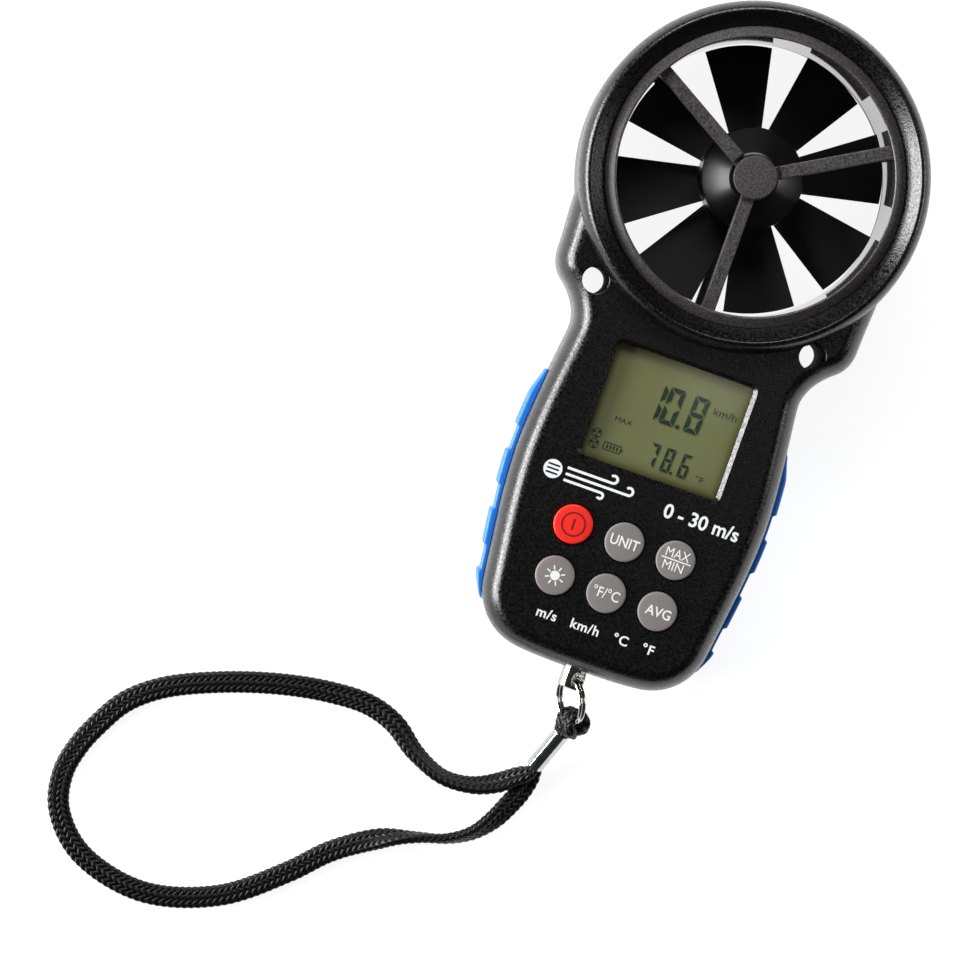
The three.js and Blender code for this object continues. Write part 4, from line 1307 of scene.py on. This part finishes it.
def make_door():
    half = BAY["x"] - GAP
    bottom = BAY["bottom"] + 0.7
    panel = block((-half, half), (bottom, DOOR_AXIS["y"] - 0.2), (0.3, 2.3), 0.7, 0.1, 0.25)
    recess = block((-9, 9), (bottom + 3, bottom + 13), (-1, 0.75), 1.5, 0)
    ribs = [block((-7, 7), (y - 0.55, y + 0.55), (0.35, 1.2), 0.5, 0.1, 0.25)
            for y in bottom + np.array((4.7, 6.9, 9.1, 11.3))]
    tab = block((-5, 5), (bottom, bottom + 1.4), (2, 4), 0.3, 0.3)
    barrel, pins = hinge_rod(1.0, half, 48), hinge_rod(0.6, half + PIN_LONG, 32)
    door = added(cut(panel, recess), *ribs, barrel, pins, tab)
    piece("battery_door_panel", door, CASE_BLACK, "door", ["battery_door"])


def make_battery():
    low, high = ((v - HEAD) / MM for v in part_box("battery"))
    shell = block((low.x, high.x), (-115.4, -69.0), (low.z, high.z), 0.4, 1.6, 1.6)
    studs = [along(turned([(0, -1), (r, -1), (r, 1.6, 0.3), (0, 1.6)], 48), (0, 1, 0),
                   (x, -69, (low.z + high.z) / 2)) for x, r in ((-6.35, 2.8), (6.35, 3.8))]
    piece("battery_cell", added(shell, *studs), CELL_SHELL, "case", ["battery"])


make_post()
for screw_number, (screw_x, screw_y) in enumerate(SCREWS, 1):
    make_screw(screw_number, screw_x, screw_y)
make_tripod_insert()
make_door()
make_battery()

# ---- CAD nodes that show as they are ----

CARRIED = [
    (DISPLAY, "lcd_glass", ["lcd_glass"]),
    (FRAME_WHITE, "white_plastic", ["lcd_frame"]),
    (LIGHT_GUIDE, "light_guide", ["backlight_panel"]),
    (RUBBER_DARK, "dark_rubber", ["zebra_strip", "battery_snap"]),
    (MEMBRANE_GREY, "grey_rubber", ["keypad_membrane"]),
    (BOARD, "circuit_board", ["main_board"]),
    (CHIP_BLACK, "chip", ["controller_chip", "temperature_sensor", "speed_sensor"]),
    (WIRE_RED, "red_wire", ["battery_lead_red"]),
    (WIRE_BLACK, "black_wire", ["battery_lead_black", "sensor_cable"]),
    (FOAM, "foam", ["battery_pad"]),
    (BRASS, "brass", ["front_bearing", "rear_bearing"]),
    (STEEL, "steel", ["impeller_shaft"]),
    (MAGNET, "magnet", ["hub_magnet"]),
]


def dress(node, material):
    """Give a CAD node a procedural material."""
    if not node.material_slots:
        node.data.materials.append(material)
    for material_slot in node.material_slots:
        material_slot.material = material


for node_material, node_slot, node_names in CARRIED:
    for node_name in node_names:
        dress(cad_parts[node_name], node_material)

# ---- Floor, light and world ----

FLOOR_Z = -0.0004


def make_floor():
    """A white floor that is clear from below, so that the meter's back can be seen."""
    mesh = bpy.data.meshes.new("floor")
    mesh.from_pydata(
        [(x, y, FLOOR_Z) for x, y in ((-4, -4), (4, -4), (4, 4), (-4, 4))], [], [(0, 1, 2, 3)])
    look = Look("floor_white", roughness=0.9, specular=0.1)
    look.colours(look.noise(80, 2), (0.3, (140, 140, 141)), (0.7, (146, 146, 147)))
    look.fill(look.shader, {"Emission Color": (1, 1, 1, 1), "Emission Strength": 0.9})
    from_below = look.node("NewGeometry").outputs["Backfacing"]
    look.surface(from_below, look.shader, look.node("BsdfTransparent"))
    mesh.materials.append(look.material)
    linked("floor", mesh)


def area_light(name, place, size, power, target=(0, 0, 0.02)):
    data = bpy.data.lights.new(name, "AREA")
    data.shape = "RECTANGLE"
    data.size, data.size_y = size
    data.energy = power
    light = linked(name, data)
    light.location = place
    light.rotation_euler = (Vector(target) - Vector(place)).to_track_quat("-Z", "Y").to_euler()


def make_world(strength):
    world = bpy.data.worlds.new("studio")
    bpy.context.scene.world = world
    world.use_nodes = True
    background = world.node_tree.nodes["Background"]
    background.inputs["Color"].default_value = (1, 1, 1, 1)
    background.inputs["Strength"].default_value = strength


make_floor()
make_world(0.03)
area_light("low_left_softbox", (-1.08, -0.22, 0.15), (0.9, 0.3), 19)
area_light("high_left_softbox", (-1.0, -0.3, 0.52), (0.9, 0.3), 13)
area_light("top_softbox", (-0.35, 0.95, 0.95), (1.0, 0.5), 12)
area_light("right_softbox", (1.05, 0.37, 0.42), (0.5, 0.3), 3.2)
area_light("strip_light", (0.32, 0.2, 1.0), (0.06, 0.7), 0.2, target=(0, -0.05, 0.02))
bpy.context.scene.view_settings.view_transform = "Standard"
